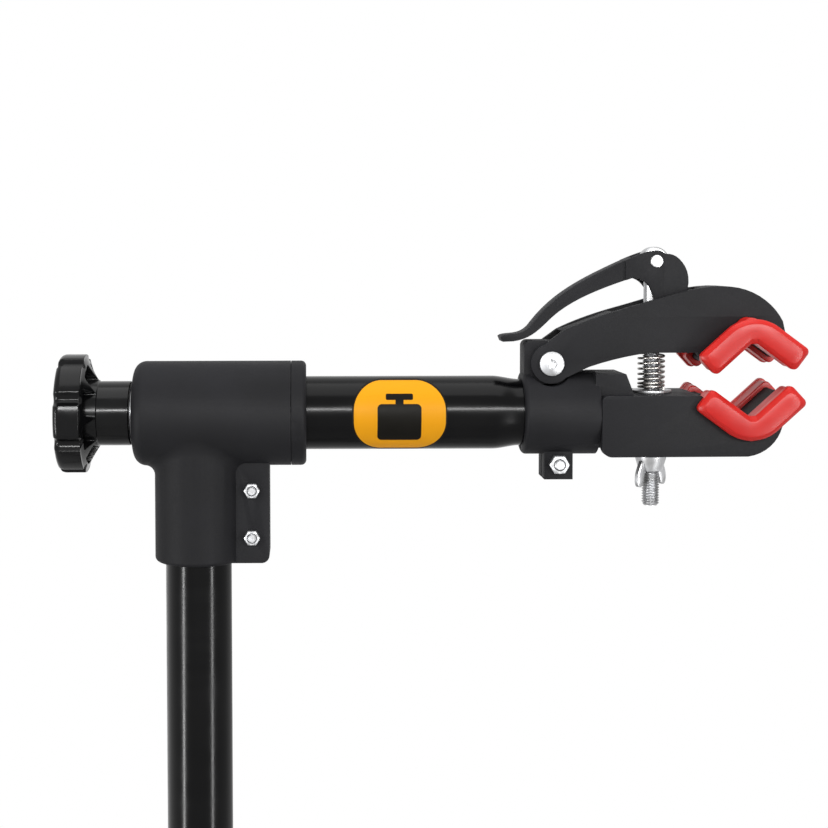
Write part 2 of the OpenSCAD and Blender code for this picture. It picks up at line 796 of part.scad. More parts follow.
module lower_jaw() {
    color([0.2, 0.2, 0.21]) head() difference() {
        union() {
            slab_pair(cheek_in, lower_w / 2) lower_cheek_outline();
            slab(-cheek_in, cheek_in) translate([244, -lower_bottom]) square([66, lower_web]);
            slab(-bar_half, bar_half) bar_vee(lower_vee, false);
            slab(-pad_inner + 1, pad_inner - 1) polygon([
                [tongue_right + 1, -lower_bottom + 1], [tongue_right + 1, lower_top - 3], lower_vee,
                [318, -2.5], [322, -14], [312, -lower_bottom + 1]]);
        }
        translate([draw_x, 0, -lower_bottom - 1]) cylinder(d = draw_hole, h = 40);
    }
}

// The rubber pad over one end of a jaw's bar: a sleeve with a wider rim at its outer end
module pad(at, up, side) {
    mirror([0, side, 0]) difference() {
        union() {
            slab(-pads_w / 2, -pad_inner) pad_vee(at, up);
            slab(-pads_w / 2, -rim_start) rim_vee(at, up);
        }
        slab(-bar_half, 0) bar_vee(at, up);
    }
}

module lower_pad_front() color([0.88, 0.14, 0.11]) head() pad(lower_vee, false, 0);
module lower_pad_rear() color([0.88, 0.14, 0.11]) head() pad(lower_vee, false, 1);
module upper_pad_front() color([0.88, 0.14, 0.11]) head() pad(upper_vee, true, 0);
module upper_pad_rear() color([0.88, 0.14, 0.11]) head() pad(upper_vee, true, 1);

module hinge_bolt() {
    reach = upper_w / 2 + face_gap;
    color("silver") head() translate([hinge_x, 0, hinge_z]) {
        y_bar(hinge_d, -reach, reach + 8);
        translate([0, -reach, 0]) rotate([90, 0, 0]) button_head(14, 4.4, 5);
    }
}

module hinge_nut() {
    color("silver") head() translate([hinge_x, upper_w / 2 + face_gap + 6.5, hinge_z])
        rotate([90, 0, 0]) hex_nut(big_nut_af, 6.5, hinge_d);
}

// Upper jaw

module upper_cheek_outline() {
    hinge = [hinge_x, hinge_z];
    join_r = ear_r - 0.6;
    translate(hinge) circle(ear_r);
    difference() {
        polygon(concat(
            [hinge + join_r * [cos(122), sin(122)]],
            curve([208, 47.3], [219, 52.8], [233, 57.4], [245, 60.6]),
            curve([245, 60.6], [263, 65.4], [283, 73.6], [302, 72.2]),
            curve([302, 72.2], [318, 71], [329.6, 60], [333.4, 49.4]),
            [[334.6, 41], upper_vee, [286, 31]],
            curve([283, 35.9], [262, 37], [238, 33], [216, 24.5]),
            [hinge + join_r * [cos(-60), sin(-60)]]));
        pad_vee(upper_vee, true);
    }
}

module upper_jaw() {
    color([0.2, 0.2, 0.21]) head() difference() {
        union() {
            slab_pair(channel_w / 2, upper_w / 2) upper_cheek_outline();
            slab(-upper_w / 2, upper_w / 2) polygon([[233, 31.2], [246, 34], [251, web_bottom],
                [286, web_bottom], [292, 33], [292, 42], [255, web_top], [232, 34]]);
            slab(-upper_w / 2, upper_w / 2) polygon([[210, 44.4], [234, 53.8], [237, 58], [208, 47.3]]);
            slab(-upper_w / 2, upper_w / 2) intersection() {
                upper_cheek_outline();
                translate([287, 30]) square(60);
            }
            slab_pair(slot_w / 2 + face_gap, channel_w / 2 + 1)
                translate([256, rail_z - 8]) square([18, 8]);
            slab(-bar_half, bar_half) bar_vee(upper_vee, true);
        }
        translate([hinge_x, 0, hinge_z]) y_bar(hinge_d + 2 * slide_gap, -upper_w, upper_w);
        translate([draw_x - draw_hole / 2 - 1, -draw_hole / 2, 20]) cube([draw_hole + 4, draw_hole, 30]);
    }
}

// Draw bolt, its nut and its spring

module draw_bolt() {
    color("silver") head() difference() {
        union() {
            translate([draw_x, 0, -draw_drop]) cylinder(d = draw_d, h = draw_drop + pin_z - 4);
            translate([pin_x, 0, pin_z]) y_bar(eye_d, -eye_t / 2, eye_t / 2);
        }
        translate([pin_x, 0, pin_z]) y_bar(pin_d + 2 * slide_gap, -eye_t, eye_t);
    }
}

module flat_washer(d, top) {
    color("silver") head() translate([draw_x, 0, top - washer_t]) difference() {
        cylinder(d = d, h = washer_t);
        translate([0, 0, -1]) cylinder(d = draw_d + 2 * slide_gap, h = washer_t + 2);
    }
}

module spring_washer() flat_washer(washer_d, lower_top + washer_t);
module nut_washer() flat_washer(21, -lower_bottom - face_gap);

module wing_nut() {
    top = -lower_bottom - 2 * face_gap - washer_t;
    color("silver") head() translate([draw_x, 0, top]) difference() {
        union() {
            translate([0, 0, -wing_hub_h]) cylinder(d1 = wing_hub_d - 3, d2 = wing_hub_d, h = wing_hub_h);
            rotate(38) for (side = [0, 1]) rotate(180 * side) slab(-1.5, 1.5) polygon([
                [4, -wing_hub_h], [4, -1], [wing_hub_d / 2, -1], [wing_span / 2, -wing_hub_h],
                [wing_span / 2, -16], [wing_span / 2 - 3, -18], [wing_hub_d / 2 - 1, -wing_hub_h]]);
        }
        translate([0, 0, -20]) cylinder(d = draw_d + 2 * slide_gap, h = 21);
    }
}

// The spring: closed curls at the bottom, open curls above
open_pitch = (spring_high - spring_low - closed_curls * closed_pitch) / open_curls;
spring_curls = closed_curls + open_curls;

function spring_height(curl) = spring_low
    + (curl < closed_curls ? curl * closed_pitch
        : closed_curls * closed_pitch + (curl - closed_curls) * open_pitch);

function wire_ring(curl) = let (turn = 360 * curl)
    [for (k = [0:wire_sides - 1]) let (a = 360 * k / wire_sides + 30)
        [(spring_r + wire_d / 2 * cos(a)) * cos(turn), (spring_r + wire_d / 2 * cos(a)) * sin(turn),
            spring_height(curl) + wire_d / 2 * sin(a)]];

spring_rings = [for (i = [0:spring_curls * rings_per_curl]) wire_ring(i / rings_per_curl)];

// The least gap between one curl and the next, measured on the rings' points
spring_gap = min([for (i = [0:len(spring_rings) - 1 - rings_per_curl])
    min([for (p = spring_rings[i], q = spring_rings[i + rings_per_curl]) norm(p - q)])]);
echo("least gap of the spring to itself, mm", spring_gap);

module jaw_spring() {
    last = len(spring_rings) - 1;
    points = [for (ring = spring_rings) for (p = ring) p];
    skin = [for (i = [0:last - 1], k = [0:wire_sides - 1])
        let (a = i * wire_sides + k, b = i * wire_sides + (k + 1) % wire_sides)
            each [[a, a + wire_sides, b], [b, a + wire_sides, b + wire_sides]]];
    caps = [for (k = [1:wire_sides - 2])
        each [[0, k, k + 1], [last * wire_sides, last * wire_sides + k + 1, last * wire_sides + k]]];
    color("silver") head() translate([draw_x, 0, 0])
        polyhedron(points = points, faces = concat(skin, caps));
}

// Cam lever: the handle, the crown over the pin, and the cam that winds inwards as it opens

function cam_point(turn) = let (
    r = turn < 23 ? cam_r - 0.12 * (turn + 3.5)
        : turn < 46 ? cam_r - 3.18 - (turn - 23) * 0.045
        : turn < 90 ? 24.2 - (turn - 46) * 0.232
        : 14 - (turn - 90) * 0.19)
    [pin_x, pin_z] + max(r, crown_r) * [sin(turn), -cos(turn)];

module lever_outline() {
    pin = [pin_x, pin_z];
    polygon(concat(
        curve([173.2, 43.8], [177, 47], [186, 42.5], [192, 52]),
        curve([192, 52], [203, 66], [216, 74], [234, 82.6]),
        curve([234, 82.6], [244, 87.4], [252, 90.9], [pin_x - 2.5, pin_z + crown_r - 0.1]),
        arc(pin, crown_r, 90, 60, 3),
        [for (turn = [128:-8:0]) cam_point(turn)],
        [cam_point(-3.5), [pin_x - 1.4, 65.3]],
        curve([pin_x - 1.6, 66.5], [pin_x - 3, 71.5], [256, 76.5], [248.7, 77.3]),
        curve([248.7, 77.3], [232, 71.8], [214, 65.3], [202.5, 54.8]),
        curve([202.5, 54.8], [194, 46.5], [189.5, 41.5], [177, 40.8]),
        [[174.4, 40.9]]));
}

module cam_lever() {
    color([0.2, 0.2, 0.21]) head() difference() {
        union() {
            slab(-lever_w / 2, lever_w / 2) intersection() {
                lever_outline();
                translate([160, 20]) square([86, 90]);
            }
            slab(-fork_w / 2, fork_w / 2) difference() {
                lever_outline();
                translate([160, 20]) square([84, 90]);
            }
        }
        translate([pin_x - 14, -slot_w / 2, pin_z - 40]) cube([40, slot_w, 60]);
        translate([pin_x, 0, pin_z]) y_bar(pin_d, -fork_w, fork_w);
    }
}

module lever_pin() {
    color("silver") head() translate([pin_x, 0, pin_z]) y_bar(pin_d, -fork_w / 2 - 0.6, fork_w / 2 + 0.6);
}

lower_post();
post_plug();
leg_hub();
hub_bolt();
hub_nut();
leg_bolts();
leg_nuts();
leg_casting(leg_turns[0]);  // leg_casting_right_front
leg_tube(leg_turns[0]);  // leg_tube_right_front
leg_foot(leg_turns[0]);  // leg_foot_right_front
leg_casting(leg_turns[1]);  // leg_casting_right_rear
leg_tube(leg_turns[1]);  // leg_tube_right_rear
leg_foot(leg_turns[1]);  // leg_foot_right_rear
leg_casting(leg_turns[2]);  // leg_casting_left_rear
leg_tube(leg_turns[2]);  // leg_tube_left_rear
leg_foot(leg_turns[2]);  // leg_foot_left_rear
leg_casting(leg_turns[3]);  // leg_casting_left_front
leg_tube(leg_turns[3]);  // leg_tube_left_front
leg_foot(leg_turns[3]);  // leg_foot_left_front
post_bushing();
height_collar();
collar_bolt();
collar_nut();
height_lever();
height_lever_pin();
mast_tube();
mast_guide();
t_head();
t_head_bolts();
t_head_nuts();
arm_tube();
lock_ring();
arm_plug();
arm_stud();
arm_label();
knob_washer();
knob_insert();
arm_knob();
clamp_housing();
lug_bolt();
lug_nut();
hinge_bolt();
hinge_nut();
lower_jaw();
lower_pad_front();
lower_pad_rear();
upper_jaw();
upper_pad_front();
upper_pad_rear();
draw_bolt();
spring_washer();
jaw_spring();
nut_washer();
wing_nut();
cam_lever();
lever_pin();
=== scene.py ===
"""Bicycle repair stand: finishes, fine shapes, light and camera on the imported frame."""
import logging
import math
from dataclasses import dataclass
from enum import Enum

import bmesh
import bpy
import numpy as np
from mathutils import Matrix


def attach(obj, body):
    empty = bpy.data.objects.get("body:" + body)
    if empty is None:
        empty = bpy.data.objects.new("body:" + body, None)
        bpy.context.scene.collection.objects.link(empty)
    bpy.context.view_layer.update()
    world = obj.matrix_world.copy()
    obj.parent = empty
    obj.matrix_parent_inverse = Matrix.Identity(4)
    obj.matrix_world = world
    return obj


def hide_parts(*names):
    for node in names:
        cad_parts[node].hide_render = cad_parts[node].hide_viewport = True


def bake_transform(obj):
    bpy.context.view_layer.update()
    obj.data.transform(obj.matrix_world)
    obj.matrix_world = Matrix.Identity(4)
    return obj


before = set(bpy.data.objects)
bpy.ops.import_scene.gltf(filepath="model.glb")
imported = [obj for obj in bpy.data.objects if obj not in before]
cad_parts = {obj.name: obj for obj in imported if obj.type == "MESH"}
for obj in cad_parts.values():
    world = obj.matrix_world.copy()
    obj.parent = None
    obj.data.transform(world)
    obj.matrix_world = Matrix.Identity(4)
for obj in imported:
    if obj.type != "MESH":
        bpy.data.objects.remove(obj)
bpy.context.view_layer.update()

Array = np.ndarray
Pair = tuple[float, float]
Point = tuple[float, float, float]
Colour = tuple[float, float, float]
Socket = bpy.types.NodeSocket
LOG = logging.getLogger("repair_stand")

MM = 0.001
ARM_HEIGHT = 1250.0  # height of the arm's axis, in mm
ROUND = 96  # points round a turned piece
MERGE = 0.002  # distance in mm below which two points become one
MIRROR = [-1, 1]  # carries points in X and Z to the other side of X = 0
LEG_TURNS = {"right_front": -45.0, "right_rear": 45.0, "left_rear": 135.0, "left_front": 225.0}


class Axis(Enum):
    """The direction in which a turned piece is built."""

    RIGHT = (1.0, 0.0, 0.0)
    LEFT = (-1.0, 0.0, 0.0)
    BACK = (0.0, 1.0, 0.0)
    FRONT = (0.0, -1.0, 0.0)
    UP = (0.0, 0.0, 1.0)
    DOWN = (0.0, 0.0, -1.0)

    @property
    def vector(self) -> Array:
        """The direction as an array."""
        return np.array(self.value)

    @property
    def opposite(self) -> "Axis":
        """The axis that points the other way."""
        return Axis(tuple(-part for part in self.value))


class Screw(Enum):
    """Screw sizes in mm: thread, pitch, blunt end, head, socket, nut's width and height."""

    M5 = (5.0, 0.8, 0.6, 9.5, 3.0, 8.0, 4.4)
    M6 = (6.0, 1.0, 0.7, 11.0, 4.0, 10.0, 5.0)
    M8 = (8.0, 1.25, 0.8, 14.0, 5.0, 13.0, 6.5)


# ---------------------------------------------------------------- mesh building


def head_point(x: float, y: float, z: float) -> Array:
    """A point of the head in mm, z being counted from the arm's axis."""
    return np.array([x, y, z + ARM_HEIGHT])


def across(axis: Array) -> tuple[Array, Array]:
    """Two directions square to a unit vector and to each other."""
    helper = np.array([0.0, 0.0, 1.0]) if abs(axis[2]) < 0.9 else np.array([1.0, 0.0, 0.0])
    side = np.cross(helper, axis)
    side /= np.linalg.norm(side)
    return side, np.cross(axis, side)


def soft_profile(corners: list[Point], steps: int = 5) -> Array:
    """A profile whose corners are rounded by parabolas between points near each corner.

    Args:
        corners: (along, radius, rounding) for each corner, in mm.
        steps: Points on each rounding.

    Returns:
        Rows of (along, radius).
    """
    points = np.array([[a, r] for a, r, _ in corners])
    rows: list[Array] = [points[:1]]
    share = np.linspace(0.0, 1.0, steps)[:, None]
    for before, here, after, (_, _, rounding) in zip(points, points[1:], points[2:], corners[1:]):
        if rounding <= 0:
            rows.append(here[None])
            continue
        to_before, to_after = before - here, after - here
        near = min(rounding, 0.49 * np.linalg.norm(to_before), 0.49 * np.linalg.norm(to_after))
        first = here + to_before / np.linalg.norm(to_before) * near
        last = here + to_after / np.linalg.norm(to_after) * near
        rows.append((1 - share) ** 2 * first + 2 * share * (1 - share) * here + share ** 2 * last)
    rows.append(points[-1:])
    return np.concatenate(rows)


def cubic(a: Array, b: Array, c: Array, d: Array, t: Array) -> Array:
    """Points of the cubic curve with the handles a, b, c and d, at the shares t of its way."""
    return (1 - t) ** 3 * a + 3 * (1 - t) ** 2 * t * b + 3 * (1 - t) * t * t * c + t ** 3 * d


def arc_points(centre: list[float], radius: float, first: float, last: float, count: int) -> Array:
    """Points on a circle arc between two angles in degrees, both ends taken in."""
    angle = np.radians(np.linspace(first, last, count))[:, None]
    return np.asarray(centre) + radius * np.hstack([np.cos(angle), np.sin(angle)])


def smoothstep(low: float, high: float, value: Array) -> Array:
    """0 below low, 1 above high and the cubic 3t^2 - 2t^3 between."""
    t = np.clip((value - low) / (high - low), 0.0, 1.0)
    return t * t * (3.0 - 2.0 * t)


def modify(piece: bpy.types.Object, name: str, kind: str, **settings: object) -> None:
    """Adds a modifier of that kind with those settings."""
    modifier = piece.modifiers.new(name, kind)
    for key, value in settings.items():
        setattr(modifier, key, value)


class Shell:
    """Grids of points, in mm, that become one mesh object."""

    def __init__(self, name: str) -> None:
        """Starts an empty shell with the object's name."""
        self.name = name
        self.points: list[Array] = []
        self.quads: list[Array] = []
        self.count = 0

    def add(self, grid: Array, loop_rows: bool = False, loop_columns: bool = True) -> "Shell":
        """Adds a grid of points as quads between neighbours.

        Args:
            grid: Rows by columns by 3.
            loop_rows: Joins the last row to the first.
            loop_columns: Joins the last column to the first.

        Returns:
            The shell itself.
        """
        rows, columns = grid.shape[:2]
        index = self.count + np.arange(rows * columns).reshape(rows, columns)
        if loop_rows:
            index = np.vstack([index, index[:1]])
        if loop_columns:
            index = np.hstack([index, index[:, :1]])
        quads = np.stack([index[:-1, :-1], index[:-1, 1:], index[1:, 1:], index[1:, :-1]], axis=-1)
        self.points.append(grid.reshape(-1, 3))
        self.quads.append(quads.reshape(-1, 4))
        self.count += rows * columns
        return self

    def turn(self, along: Array, radius: Array, centre: Array, axis: Axis | Array,
             columns: int = ROUND, loop: bool = False) -> "Shell":
        """Adds a turned surface: centre + axis * along + radius * (side * cos t + up * sin t).

        Args:
            along: Distances along the axis, one a row, or one a row and column.
            radius: Radii in the same layout.
            centre: The origin of the distances.
            axis: A named direction or a unit vector.
            columns: Number of angles in a full turn.
            loop: Joins the last row to the first.

        Returns:
            The shell itself.
        """
        angle = np.linspace(0.0, 2.0 * np.pi, columns, endpoint=False)
        along, radius = (np.atleast_2d(np.asarray(part, float).T).T + 0.0 * angle
                         for part in (along, radius))
        axis = axis.vector if isinstance(axis, Axis) else axis
        side, up = across(axis)
        level, raised = radius * np.cos(angle), radius * np.sin(angle)
        grid = centre + along[..., None] * axis + level[..., None] * side + raised[..., None] * up
        return self.add(grid, loop)

    def finish(self, sharp: float = 38.0) -> bpy.types.Object:
        """Makes the object: doubles merged, faces outwards, smooth below the sharp angle.

        Args:
            sharp: Angle in degrees above which an edge stays sharp.

        Returns:
            The object, linked to the scene, with its place in its mesh.
        """
        mesh = bpy.data.meshes.new(self.name)
        mesh.from_pydata((np.concatenate(self.points) * MM).tolist(), [],
                         np.concatenate(self.quads).tolist())
        work = bmesh.new()
        work.from_mesh(mesh)
        bmesh.ops.remove_doubles(work, verts=work.verts, dist=MERGE * MM)
        bmesh.ops.recalc_face_normals(work, faces=work.faces)
        work.to_mesh(mesh)
        work.free()
        mesh.polygons.foreach_set("use_smooth", np.ones(len(mesh.polygons), bool))
        mesh.set_sharp_from_angle(angle=math.radians(sharp))
        piece = bpy.data.objects.new(self.name, mesh)
        bpy.context.scene.collection.objects.link(piece)
        return piece


# ---------------------------------------------------------------- fasteners


def hex_radius(across_flats: float) -> Array:
    """Radius of a hexagon at each angle: half its width over flats by the cosine from a flat."""
    angle = np.linspace(0.0, 2.0 * np.pi, ROUND, endpoint=False)
    return across_flats / 2 / np.cos(np.mod(angle, np.pi / 3) - np.pi / 6)


@dataclass(frozen=True)
class Seat:
    """A place for hardware: the shell it joins, its seated face's middle and where it points."""

    shell: Shell
    centre: Array
    axis: Axis

    def nut(self, width: float, height: float, hole: float) -> None:
        """Adds a nut whose corners are cut back by a cone of 30 degrees at both faces.

        Args:
            width: Over the flats.
            height: Along the axis.
            hole: Diameter of the thread.
        """
        corner, flat = hex_radius(width), np.zeros(ROUND)
        circle, bore = flat + 0.475 * width, flat + hole / 2
        cut = np.maximum(corner - circle, 0.0) * math.tan(math.radians(30))
        edge, mouth = 0.12, 0.5
        radius = np.stack([bore, bore + mouth, circle, corner - edge, corner, corner, corner - edge,
                           circle, bore + mouth, bore])
        along = np.stack([flat + mouth, flat, flat, cut, cut + edge, height - cut - edge,
                          height - cut, flat + height, flat + height, flat + height - mouth])
        self.shell.turn(along, radius, self.centre, self.axis, loop=True)

    def button_head(self, width: float, socket: float) -> None:
        """Adds a round head, its dome a part of a sphere, with a hexagon socket.

        Args:
            width: Diameter of the head.
            socket: Over the socket's flats.
        """
        hexagon, one = hex_radius(socket), np.ones(ROUND)
        ball, drop, floor, mouth = 1.15 * width, 0.91 * width, 0.12 * width, 0.25
        dome_r = np.linspace(0.0, 1.0, 9)[:, None] * (0.485 * width - hexagon - mouth) \
            + hexagon + mouth
        dome_a = np.sqrt(ball ** 2 - dome_r ** 2) - drop
        radius = np.vstack([0 * one, hexagon - 0.15, hexagon, hexagon, dome_r, 0.5 * width * one,
                            0.5 * width * one, 0.49 * width * one, 0 * one])
        along = np.vstack([0.8 * floor * one, floor * one, (floor + 0.15) * one, dome_a[0] - 0.2,
                           dome_a, 0.7 * dome_a[-1], 0.15 * one, 0 * one, 0 * one])
        self.shell.turn(along, radius, self.centre, self.axis)

    def thread(self, diameter: float, length: float, pitch: float, blunt: float = 1.2,
               columns: int = 28) -> None:
        """Adds a screw thread: its radius falls by a triangle wave of along / pitch - angle.

        Args:
            diameter: Over the crests.
            length: Of the rod.
            pitch: Of the thread.
            blunt: Length of the cone at the free end.
            columns: Points round the rod.
        """
        along = np.linspace(0.0, length, int(length / pitch * 7) + 2)[:, None]
        turn = np.linspace(0.0, 1.0, columns, endpoint=False)
        wave = np.abs(2.0 * np.mod(along / pitch - turn, 1.0) - 1.0)
        radius = diameter / 2 - 0.6 * pitch * np.clip(1.25 * wave - 0.12, 0.0, 1.0)
        radius = np.minimum(radius, diameter / 2 - np.maximum(along - (length - blunt), 0.0))
        radius[0] = radius[-1] = 0.0
        wide = np.vstack([radius[:1], radius[1:2], radius[1:-1], radius[-2:-1], radius[-1:]])
        reach = np.vstack([along[:1], along[:1], along[1:-1], along[-1:], along[-1:]])
        self.shell.turn(reach, wide, self.centre, self.axis, columns)

    def ring(self, hole: float, width: float, height: float, edge: float = 0.3) -> None:
        """Adds a ring or washer with rounded edges."""
        inner, outer, middle = hole / 2, width / 2, height / 2
        profile = soft_profile([
            (middle, inner, 0), (0, inner, edge), (0, outer, edge), (height, outer, edge),
            (height, inner, edge), (middle, inner, 0)], 4)[:-1]
        self.shell.turn(*profile.T, self.centre, self.axis, loop=True)

    def rod(self, width: float, length: float, edge: float) -> None:
        """Adds a closed round rod with rounded edges."""
        profile = soft_profile([(0, 0, 0), (0, width / 2, edge), (length, width / 2, edge),
                                (length, 0, 0)])
        self.shell.turn(*profile.T, self.centre, self.axis, 64)


# ---------------------------------------------------------------- finishes


def linear(code: str) -> Colour:
    """The linear values of a colour written as six hexadecimal figures."""
    parts = [int(code[i:i + 2], 16) / 255 for i in (0, 2, 4)]
    red, green, blue = [p / 12.92 if p <= 0.04045 else ((p + 0.055) / 1.055) ** 2.4 for p in parts]
    return red, green, blue


def wire(tree: bpy.types.NodeTree, value: object, socket: Socket) -> None:
    """Links a socket to an input, or sets the input to a number, a vector or a colour."""
    if isinstance(value, Socket):
        tree.links.new(value, socket)
    elif isinstance(value, tuple) and len(value) == 3 and socket.type == "RGBA":
        socket.default_value = (*value, 1.0)
    else:
        socket.default_value = value


def add_node(tree: bpy.types.NodeTree, kind: str, inputs: dict[int | str, object],
             **settings: object) -> bpy.types.Node:
    """Adds a shader node to a tree.

    Args:
        tree: The tree.
        kind: The node's type, without the words Shader Node before it.
        inputs: A value or a socket for each input.
        settings: The node's own settings.

    Returns:
        The node.
    """
    node = tree.nodes.new(f"ShaderNode{kind}")
    for name, value in settings.items():
        setattr(node, name, value)
    for key, value in inputs.items():
        wire(tree, value, node.inputs[key])
    return node


class Surface:
    """The nodes of one procedural material, on the piece's object coordinates."""

    def __init__(self, name: str) -> None:
        """Starts a material of that name with its shader."""
        self.material = bpy.data.materials.new(name)
        self.material.use_nodes = True
        self.tree = self.material.node_tree
        self.shader = self.tree.nodes["Principled BSDF"]
        self.coords = add_node(self.tree, "TexCoord", {}).outputs["Object"]

    def noise(self, scale: float, detail: float = 3.0, stretch: Point = (1.0, 1.0, 1.0)) -> Socket:
        """Noise from 0 to 1. Scale counts patches a metre, stretch scales each direction."""
        place = add_node(self.tree, "Mapping", {"Vector": self.coords, "Scale": stretch})
        return add_node(self.tree, "TexNoise", {"Vector": place.outputs["Vector"], "Scale": scale,
                                                "Detail": detail}).outputs["Fac"]

    def math(self, work: str, first: object, second: object = 0.0) -> Socket:
        """One arithmetic step on numbers or sockets."""
        return add_node(self.tree, "Math", {0: first, 1: second}, operation=work).outputs[0]

    def scale(self, value: object, low: float, high: float, first: float, last: float) -> Socket:
        """Carries low..high to first..last, clamped."""
        inputs = dict(enumerate((value, low, high, first, last)))
        return add_node(self.tree, "MapRange", inputs).outputs[0]

    def mix(self, share: object, first: object, second: object) -> Socket:
        """Blends two colours by a share from 0 to 1."""
        return add_node(self.tree, "Mix", {"Factor": share, 6: first, 7: second},
                        data_type="RGBA").outputs[2]

    def axes(self) -> list[Socket]:
        """The three object coordinates as numbers."""
        return list(add_node(self.tree, "SeparateXYZ", {0: self.coords}).outputs)

    def edges(self, radius: float) -> Socket:
        """1 on sharp outer edges, 0 on flats: how far a rounded normal leans off the true one."""
        bevel = add_node(self.tree, "Bevel", {"Radius": radius}, samples=4)
        shape = add_node(self.tree, "NewGeometry", {})
        dot = add_node(self.tree, "VectorMath", {0: bevel.outputs[0], 1: shape.outputs["Normal"]},
                       operation="DOT_PRODUCT")
        return self.scale(dot.outputs["Value"], 0.99, 0.8, 0.0, 1.0)

    def block(self, x: Socket, z: Socket, middle: Pair, half: Pair, corner: float) -> Socket:
        """Distance out of a round-cornered block: the length past its core, less the corner.

        Args:
            x: Coordinate along the block's length.
            z: Coordinate along its height.
            middle: The block's middle.
            half: Its half sizes.
            corner: Its corner radius.

        Returns:
            The distance, negative inside.
        """
        squares = []
        for value, centre, reach in zip((x, z), middle, half):
            off = self.math("ABSOLUTE", self.math("SUBTRACT", value, centre))
            past = self.math("MAXIMUM", self.math("SUBTRACT", off, reach - corner), 0.0)
            squares.append(self.math("POWER", past, 2.0))
        return self.math("SUBTRACT", self.math("SQRT", self.math("ADD", *squares)), corner)

    def bump(self, height: Socket, strength: float, depth: float) -> None:
        """Gives the shader a relief of that height and of that depth in metres."""
        node = add_node(self.tree, "Bump", {"Strength": strength, "Distance": depth,
                                            "Height": height})
        wire(self.tree, node.outputs["Normal"], self.shader.inputs["Normal"])

    def finish(self, **sockets: object) -> bpy.types.Material:
        """Sets the shader's inputs, underscores standing for spaces, and gives the material."""
        for name, value in sockets.items():
            wire(self.tree, value, self.shader.inputs[name.replace("_", " ")])
        return self.material


@dataclass(frozen=True)
class TubePaint:
    """Glossy black enamel on the steel tubes, with a little orange peel and settled dust."""

    name: str = "black_tube_paint"
    colour: Colour = linear("050506")
    dust: Colour = linear("151414")

    def make(self) -> bpy.types.Material:
        """The material: dust patches over black, faint peel, brushed streaks in the gloss."""
        s = Surface(self.name)
        patches = s.scale(s.noise(22.0, 5.0), 0.5, 0.85, 0.0, 0.5)
        streaks = s.noise(60.0, 3.0, (0.25, 1.0, 1.0))
        s.bump(s.noise(900.0, 2.0), 0.05, 0.0002)
        return s.finish(Base_Color=s.mix(patches, self.colour, self.dust),
                        Roughness=s.scale(streaks, 0.3, 0.75, 0.16, 0.26), Specular_IOR_Level=0.12)


@dataclass(frozen=True)
class CastPaint:
    """Matte charcoal powder coat on aluminium castings, its edges painted lighter: partly rubbing
    wear, partly a painted edge highlight.
    """

    name: str
    colour: Colour = linear("1d1d1f")
    light: Colour = linear("232326")
    # Colour of the lighter edges: worn paint and painted edge highlight.
    edge_wear_and_highlight_colour: Colour = linear("606063")
    edge_wear_and_highlight_share: float = 0.45
    grain: float = 1700.0
    edge: float = 0.0007

    def make(self) -> bpy.types.Material:
        """The material: cloudy charcoal, fine pimples, edges lighter where a coarse noise is high,
        as rubbing wear and as painted edge highlight.
        """
        s = Surface(self.name)
        cloud = s.mix(s.scale(s.noise(28.0, 4.0), 0.3, 0.75, 0.0, 1.0), self.colour, self.light)
        patches = s.scale(s.noise(130.0, 4.0), 0.42, 0.68, 0.1, 1.0)
        # Lighter edges: partly rubbing wear, partly painted highlight along the edges.
        edge_wear_and_highlight = s.math("MULTIPLY", s.math("MULTIPLY", s.edges(self.edge), patches), self.edge_wear_and_highlight_share)
        grain = s.noise(self.grain, 2.0)
        s.bump(grain, 0.22, 0.00022)
        return s.finish(Base_Color=s.mix(edge_wear_and_highlight, cloud, self.edge_wear_and_highlight_colour), Specular_IOR_Level=0.09,
                        Roughness=s.scale(grain, 0.3, 0.7, 0.5, 0.66))


@dataclass(frozen=True)
class PlatedSteel:
    """Zinc-plated hardware: cool grey, cloudy, with turning marks and dull spots."""

    name: str
    colour: Colour = linear("b4b5b7")
    dull: Colour = linear("7d7c7a")
    gloss: float = 0.24

    def make(self) -> bpy.types.Material:
        """The material: grey clouds and dull specks over metal, with fine scratches in relief."""
        s = Surface(self.name)
        clouds = s.scale(s.noise(170.0, 5.0), 0.35, 0.75, 0.0, 0.7)
        scratches = s.noise(1400.0, 2.0, (1.0, 1.0, 0.15))
        s.bump(scratches, 0.12, 0.0001)
        return s.finish(Base_Color=s.mix(clouds, self.colour, self.dull), Metallic=1.0,
                        Roughness=s.scale(scratches, 0.3, 0.7, self.gloss, self.gloss + 0.14))


@dataclass(frozen=True)
class SoftPlastic:
    """Moulded rubber or plastic with a faint grain and lighter edges, partly rubbing wear and
    partly painted edge highlight.
    """

    name: str
    colour: Colour
    light: Colour
    # Colour of the lighter edges: wear and painted edge highlight.
    edge_wear_and_highlight_colour: Colour
    low_gloss: float
    high_gloss: float
    specular: float
    edge_wear_and_highlight_share: float
    relief: float = 0.06

    def make(self) -> bpy.types.Material:
        """The material: soft colour clouds, edges painted lighter as wear and as edge highlight,
        fine moulded grain.
        """
        s = Surface(self.name)
        cloud = s.mix(s.scale(s.noise(35.0, 3.0), 0.35, 0.7, 0.0, 1.0), self.colour, self.light)
        # Lighter edges all round: painted edge highlight, and rubbing wear.
        edge_wear_and_highlight = s.math("MULTIPLY", s.edges(0.0006), self.edge_wear_and_highlight_share)
        s.bump(s.noise(1100.0, 2.0), self.relief, 0.0002)
        gloss = s.scale(s.noise(90.0, 4.0), 0.3, 0.7, self.low_gloss, self.high_gloss)
        return s.finish(Base_Color=s.mix(edge_wear_and_highlight, cloud, self.edge_wear_and_highlight_colour), Specular_IOR_Level=self.specular,
                        Roughness=gloss)


